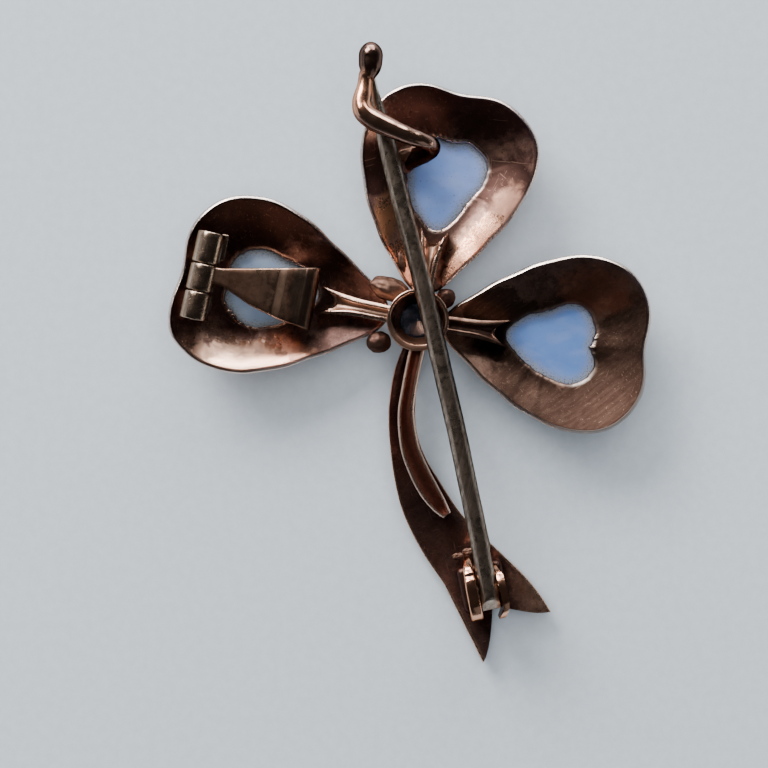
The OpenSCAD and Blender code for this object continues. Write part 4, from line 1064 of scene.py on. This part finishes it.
def heart_stone(name, material):
    ang, out, extra, w_out, w_open, seed = LEAVES[name]
    n = 200
    a = np.linspace(0, 2 * np.pi, n, endpoint=False)
    r0 = heart(a, 1) + STONE_LEDGE
    ro = heart(a, 1) + uneven(w_open, a) + nudge(name, a, 3)
    back = [(0.10, 1.0), (0.3, 1.0), (0.5, 1.0), (0.62, 1.0), (0.72, 1.0), (0.80, 1.0), (0.88, 1.0), (0.94, 1.0), (0.97, 0.995), (0.99, 0.98)]
    rings, grime = [], []
    for share, z in back:
        rings.append((share, z))
    rings += [(1.0, 0.95)] + [q for q in STONE[1:]]
    verts = [[0, 0, 1.0]]
    for share, z in rings:
        for k in range(n):
            r = r0[k] * share
            verts.append([r * math.cos(a[k]), r * math.sin(a[k]), z])
            grime.append(smoothstep(np.array(ro[k] - r), 0.60, 0.0).item() if z > 0.9 else 0.0)
    verts.append([0, 0, 0.0])
    grime = [0.0] + grime + [0.0]
    m = len(rings)
    faces = []
    for i in range(m - 1):
        for k in range(n):
            p, q = 1 + i * n + k, 1 + i * n + (k + 1) % n
            faces.append((p, p + n, q + n, q))
    for k in range(n):
        faces.append((0, 1 + k, 1 + (k + 1) % n))
        faces.append((len(verts) - 1, 1 + (m - 1) * n + (k + 1) % n, 1 + (m - 1) * n + k))
    v = np.array(verts)
    top = v[:, 2] > 0.9
    v[top, 2] += 0.02 * field(v[top], 0.8, seed + 3, 2) * (1 - smoothstep(np.hypot(v[top, 0], v[top, 1]), 1.5, 2.3)) - 0.0
    v = (v + np.array([CENTRE_U + out, 0, 0])) @ rot_z(ang).T + SHIFT
    v[:, 2] = np.maximum(v[:, 2], 0.0)
    return piece("moonstone_of_" + name, v, faces, "moonstone_" + name, material, sharp=50, attributes={"grime": np.array(grime)})


def centre_stone(material):
    """Round cut stone seen from its pointed back: 8 main facets and 16 girdle facets, with a flat table in front."""
    rings = []
    for r, z, n_side, turn in ((CENTRE_R, 1.13, 16, 0), (CENTRE_R * 0.62, 1.50, 8, 0.0)):
        rings.append([(r * math.cos(2 * math.pi * (k + turn) / n_side), r * math.sin(2 * math.pi * (k + turn) / n_side), z) for k in range(n_side)])
    verts, faces = [], []
    g = [(CENTRE_R * math.cos(math.radians(22.5 * k)), CENTRE_R * math.sin(math.radians(22.5 * k)), 1.12) for k in range(16)]
    low = [(CENTRE_R * math.cos(math.radians(22.5 * k)), CENTRE_R * math.sin(math.radians(22.5 * k)), 1.02) for k in range(16)]
    mid = [(0.60 * math.cos(math.radians(45 * k + 22.5)), 0.60 * math.sin(math.radians(45 * k + 22.5)), 1.53) for k in range(8)]
    culet = [(0.05 * math.cos(math.radians(45 * k + 22.5)), 0.05 * math.sin(math.radians(45 * k + 22.5)), 1.99) for k in range(8)]
    crown = [(0.86 * math.cos(math.radians(45 * k)), 0.86 * math.sin(math.radians(45 * k)), 0.66) for k in range(8)]
    table = [(0.60 * math.cos(math.radians(45 * k + 22.5)), 0.60 * math.sin(math.radians(45 * k + 22.5)), 0.47) for k in range(8)]
    verts = g + low + mid + culet + crown + table
    G, L, M, C, K, T = 0, 16, 32, 40, 48, 56
    for k in range(16):
        faces.append((G + k, G + (k + 1) % 16, L + (k + 1) % 16, L + k))
    for k in range(8):
        a, b, c = 2 * k, 2 * k + 1, (2 * k + 2) % 16
        faces += [(G + a, G + b, M + k), (G + b, G + c, M + k)]
        faces.append((G + c, M + (k + 1) % 8, M + k))
        faces.append((M + k, M + (k + 1) % 8, C + (k + 1) % 8, C + k))
        faces += [(L + a, K + k, L + b), (L + b, K + (k + 1) % 8, L + c), (L + b, K + k, K + (k + 1) % 8)]
        faces.append((K + k, T + k, K + (k + 1) % 8))
        faces.append((K + (k + 1) % 8, T + k, T + (k + 1) % 8))
    faces.append(tuple(C + k for k in range(8)))
    faces.append(tuple(T + k for k in range(8))[::-1])
    v = np.array(verts) @ rot_z(8).T + SHIFT
    return piece("centre_gem", v, faces, "centre_stone", material, sharp=5, bevel=0.012, segments=1, bevel_angle=8)


for name in LEAVES:
    leaf(name)
    arm(name)
arm_solder()
rib()
ribbon()
collet()
beads()
catch()
hinge()
pin()
bail()
barrel()
heart_stone("top", moonstone("moonstone_top", 2.0, (0.150, 0.250, 0.560), (0.205, 0.305, 0.610)))
heart_stone("left", moonstone("moonstone_left", 5.0, (0.15, 0.22, 0.34), (0.27, 0.34, 0.46)))
heart_stone("right", moonstone("moonstone_right", 8.0, (0.080, 0.170, 0.430), (0.110, 0.205, 0.475)))
centre_stone(dark_stone())


# ------------------------------------------------------------------ stage, light, camera
def stage():
    me = bpy.data.meshes.new("floor")
    s = 1.5
    me.from_pydata([(-s, -s, 0), (s, -s, 0), (s, s, 0), (-s, s, 0)], [], [(0, 1, 2, 3)])
    floor = bpy.data.objects.new("floor", me)
    bpy.context.scene.collection.objects.link(floor)
    floor.location = (0, 0, -0.00001)
    g = Graph("floor_paper")
    n = g.noise(2.0, 4, 0.6)
    g.link(g.mix(g.ramp(n, 0.3, 0.7), (0.50, 0.57, 0.64), (0.54, 0.61, 0.68)), g.bsdf.inputs["Base Color"])
    g.bsdf.inputs["Roughness"].default_value = 0.9
    g.bsdf.inputs["Specular IOR Level"].default_value = 0.1
    me.materials.append(g.mat)


def area(name, azimuth, elevation, distance, size, power, colour=(1, 1, 1), glossy=True, diffuse=True, size_y=None):
    data = bpy.data.lights.new(name, "AREA")
    data.shape = "RECTANGLE"
    data.size = size
    data.size_y = size_y or size
    data.energy = power
    data.color = colour
    ob = bpy.data.objects.new(name, data)
    a, e = math.radians(azimuth), math.radians(elevation)
    at = Vector((math.cos(a) * math.cos(e), math.sin(a) * math.cos(e), math.sin(e))) * distance
    ob.location = at
    ob.rotation_euler = (-at).to_track_quat("-Z", "Y").to_euler()
    bpy.context.scene.collection.objects.link(ob)
    ob.visible_camera = False
    ob.visible_glossy = glossy
    ob.visible_diffuse = diffuse
    return ob


stage()
# window light from the upper left, low light behind the top, and a weak fill; the overhead panel lights only matt surfaces
area("window", 124, 32, 0.40, 0.23, 2.7, (1.0, 0.955, 0.92), size_y=0.17)
area("upper_window", 78, 25, 0.42, 0.26, 0.9, (1.0, 0.97, 0.94), size_y=0.20)
area("left_wall", 182, 16, 0.45, 0.30, 0.07, (0.95, 0.97, 1.0), size_y=0.12)
area("north_low", 94, 8, 0.42, 0.36, 1.0, (1.0, 0.98, 0.96), size_y=0.045)
area("east_low", -16, 8, 0.42, 0.24, 0.06, (1.0, 0.95, 0.88), size_y=0.035)
area("fill", -60, 30, 0.40, 0.25, 0.03, (0.85, 0.92, 1.0))
area("overhead", 100, 82, 0.45, 0.50, 2.2, (0.98, 0.99, 1.0), glossy=False)

world = bpy.data.worlds.new("room")
bpy.context.scene.world = world
world.use_nodes = True
nt = world.node_tree
bg = nt.nodes["Background"]
coords = nt.nodes.new("ShaderNodeTexCoord")
split = nt.nodes.new("ShaderNodeSeparateXYZ")
nt.links.new(coords.outputs["Generated"], split.inputs[0])
up = nt.nodes.new("ShaderNodeMapRange")
up.interpolation_type = "SMOOTHSTEP"
up.inputs["From Min"].default_value = 0.02
up.inputs["From Max"].default_value = 0.42
up.inputs["To Min"].default_value = 0.26
up.inputs["To Max"].default_value = 0.022
nt.links.new(split.outputs["Z"], up.inputs["Value"])
round_about = nt.nodes.new("ShaderNodeVectorMath")
round_about.operation = "DOT_PRODUCT"
round_about.inputs[1].default_value = (-0.5, 0.86, 0.0)
nt.links.new(coords.outputs["Generated"], round_about.inputs[0])
side = nt.nodes.new("ShaderNodeMapRange")
side.inputs["From Min"].default_value = -1.0
side.inputs["From Max"].default_value = 1.0
side.inputs["To Min"].default_value = 0.55
side.inputs["To Max"].default_value = 1.45
nt.links.new(round_about.outputs["Value"], side.inputs["Value"])
power = nt.nodes.new("ShaderNodeMath")
power.operation = "MULTIPLY"
nt.links.new(up.outputs["Result"], power.inputs[0])
nt.links.new(side.outputs["Result"], power.inputs[1])
tone = nt.nodes.new("ShaderNodeMix")
tone.data_type = "RGBA"
tone.inputs[6].default_value = (0.86, 0.92, 1.0, 1)
tone.inputs[7].default_value = (1.0, 0.86, 0.83, 1)
height = nt.nodes.new("ShaderNodeMapRange")
height.inputs["From Min"].default_value = 0.15
height.inputs["From Max"].default_value = 0.60
nt.links.new(split.outputs["Z"], height.inputs["Value"])
nt.links.new(height.outputs["Result"], tone.inputs[0])
nt.links.new(tone.outputs[2], bg.inputs["Color"])
nt.links.new(power.outputs["Value"], bg.inputs["Strength"])

# the photograph looks straight down from about 130 mm above the table
cam = bpy.data.cameras.new("camera")
cam.sensor_width = 36
cam.sensor_fit = "HORIZONTAL"
cam.lens = 18 / math.tan(math.radians(17.87) / 2)
cam.clip_start, cam.clip_end = 0.005, 5
cam.dof.use_dof = False
camera = bpy.data.objects.new("camera", cam)
camera.location = (-1.423 * MM, -1.350 * MM, 130 * MM)
bpy.context.scene.collection.objects.link(camera)
bpy.context.scene.camera = camera

bpy.context.view_layer.update()
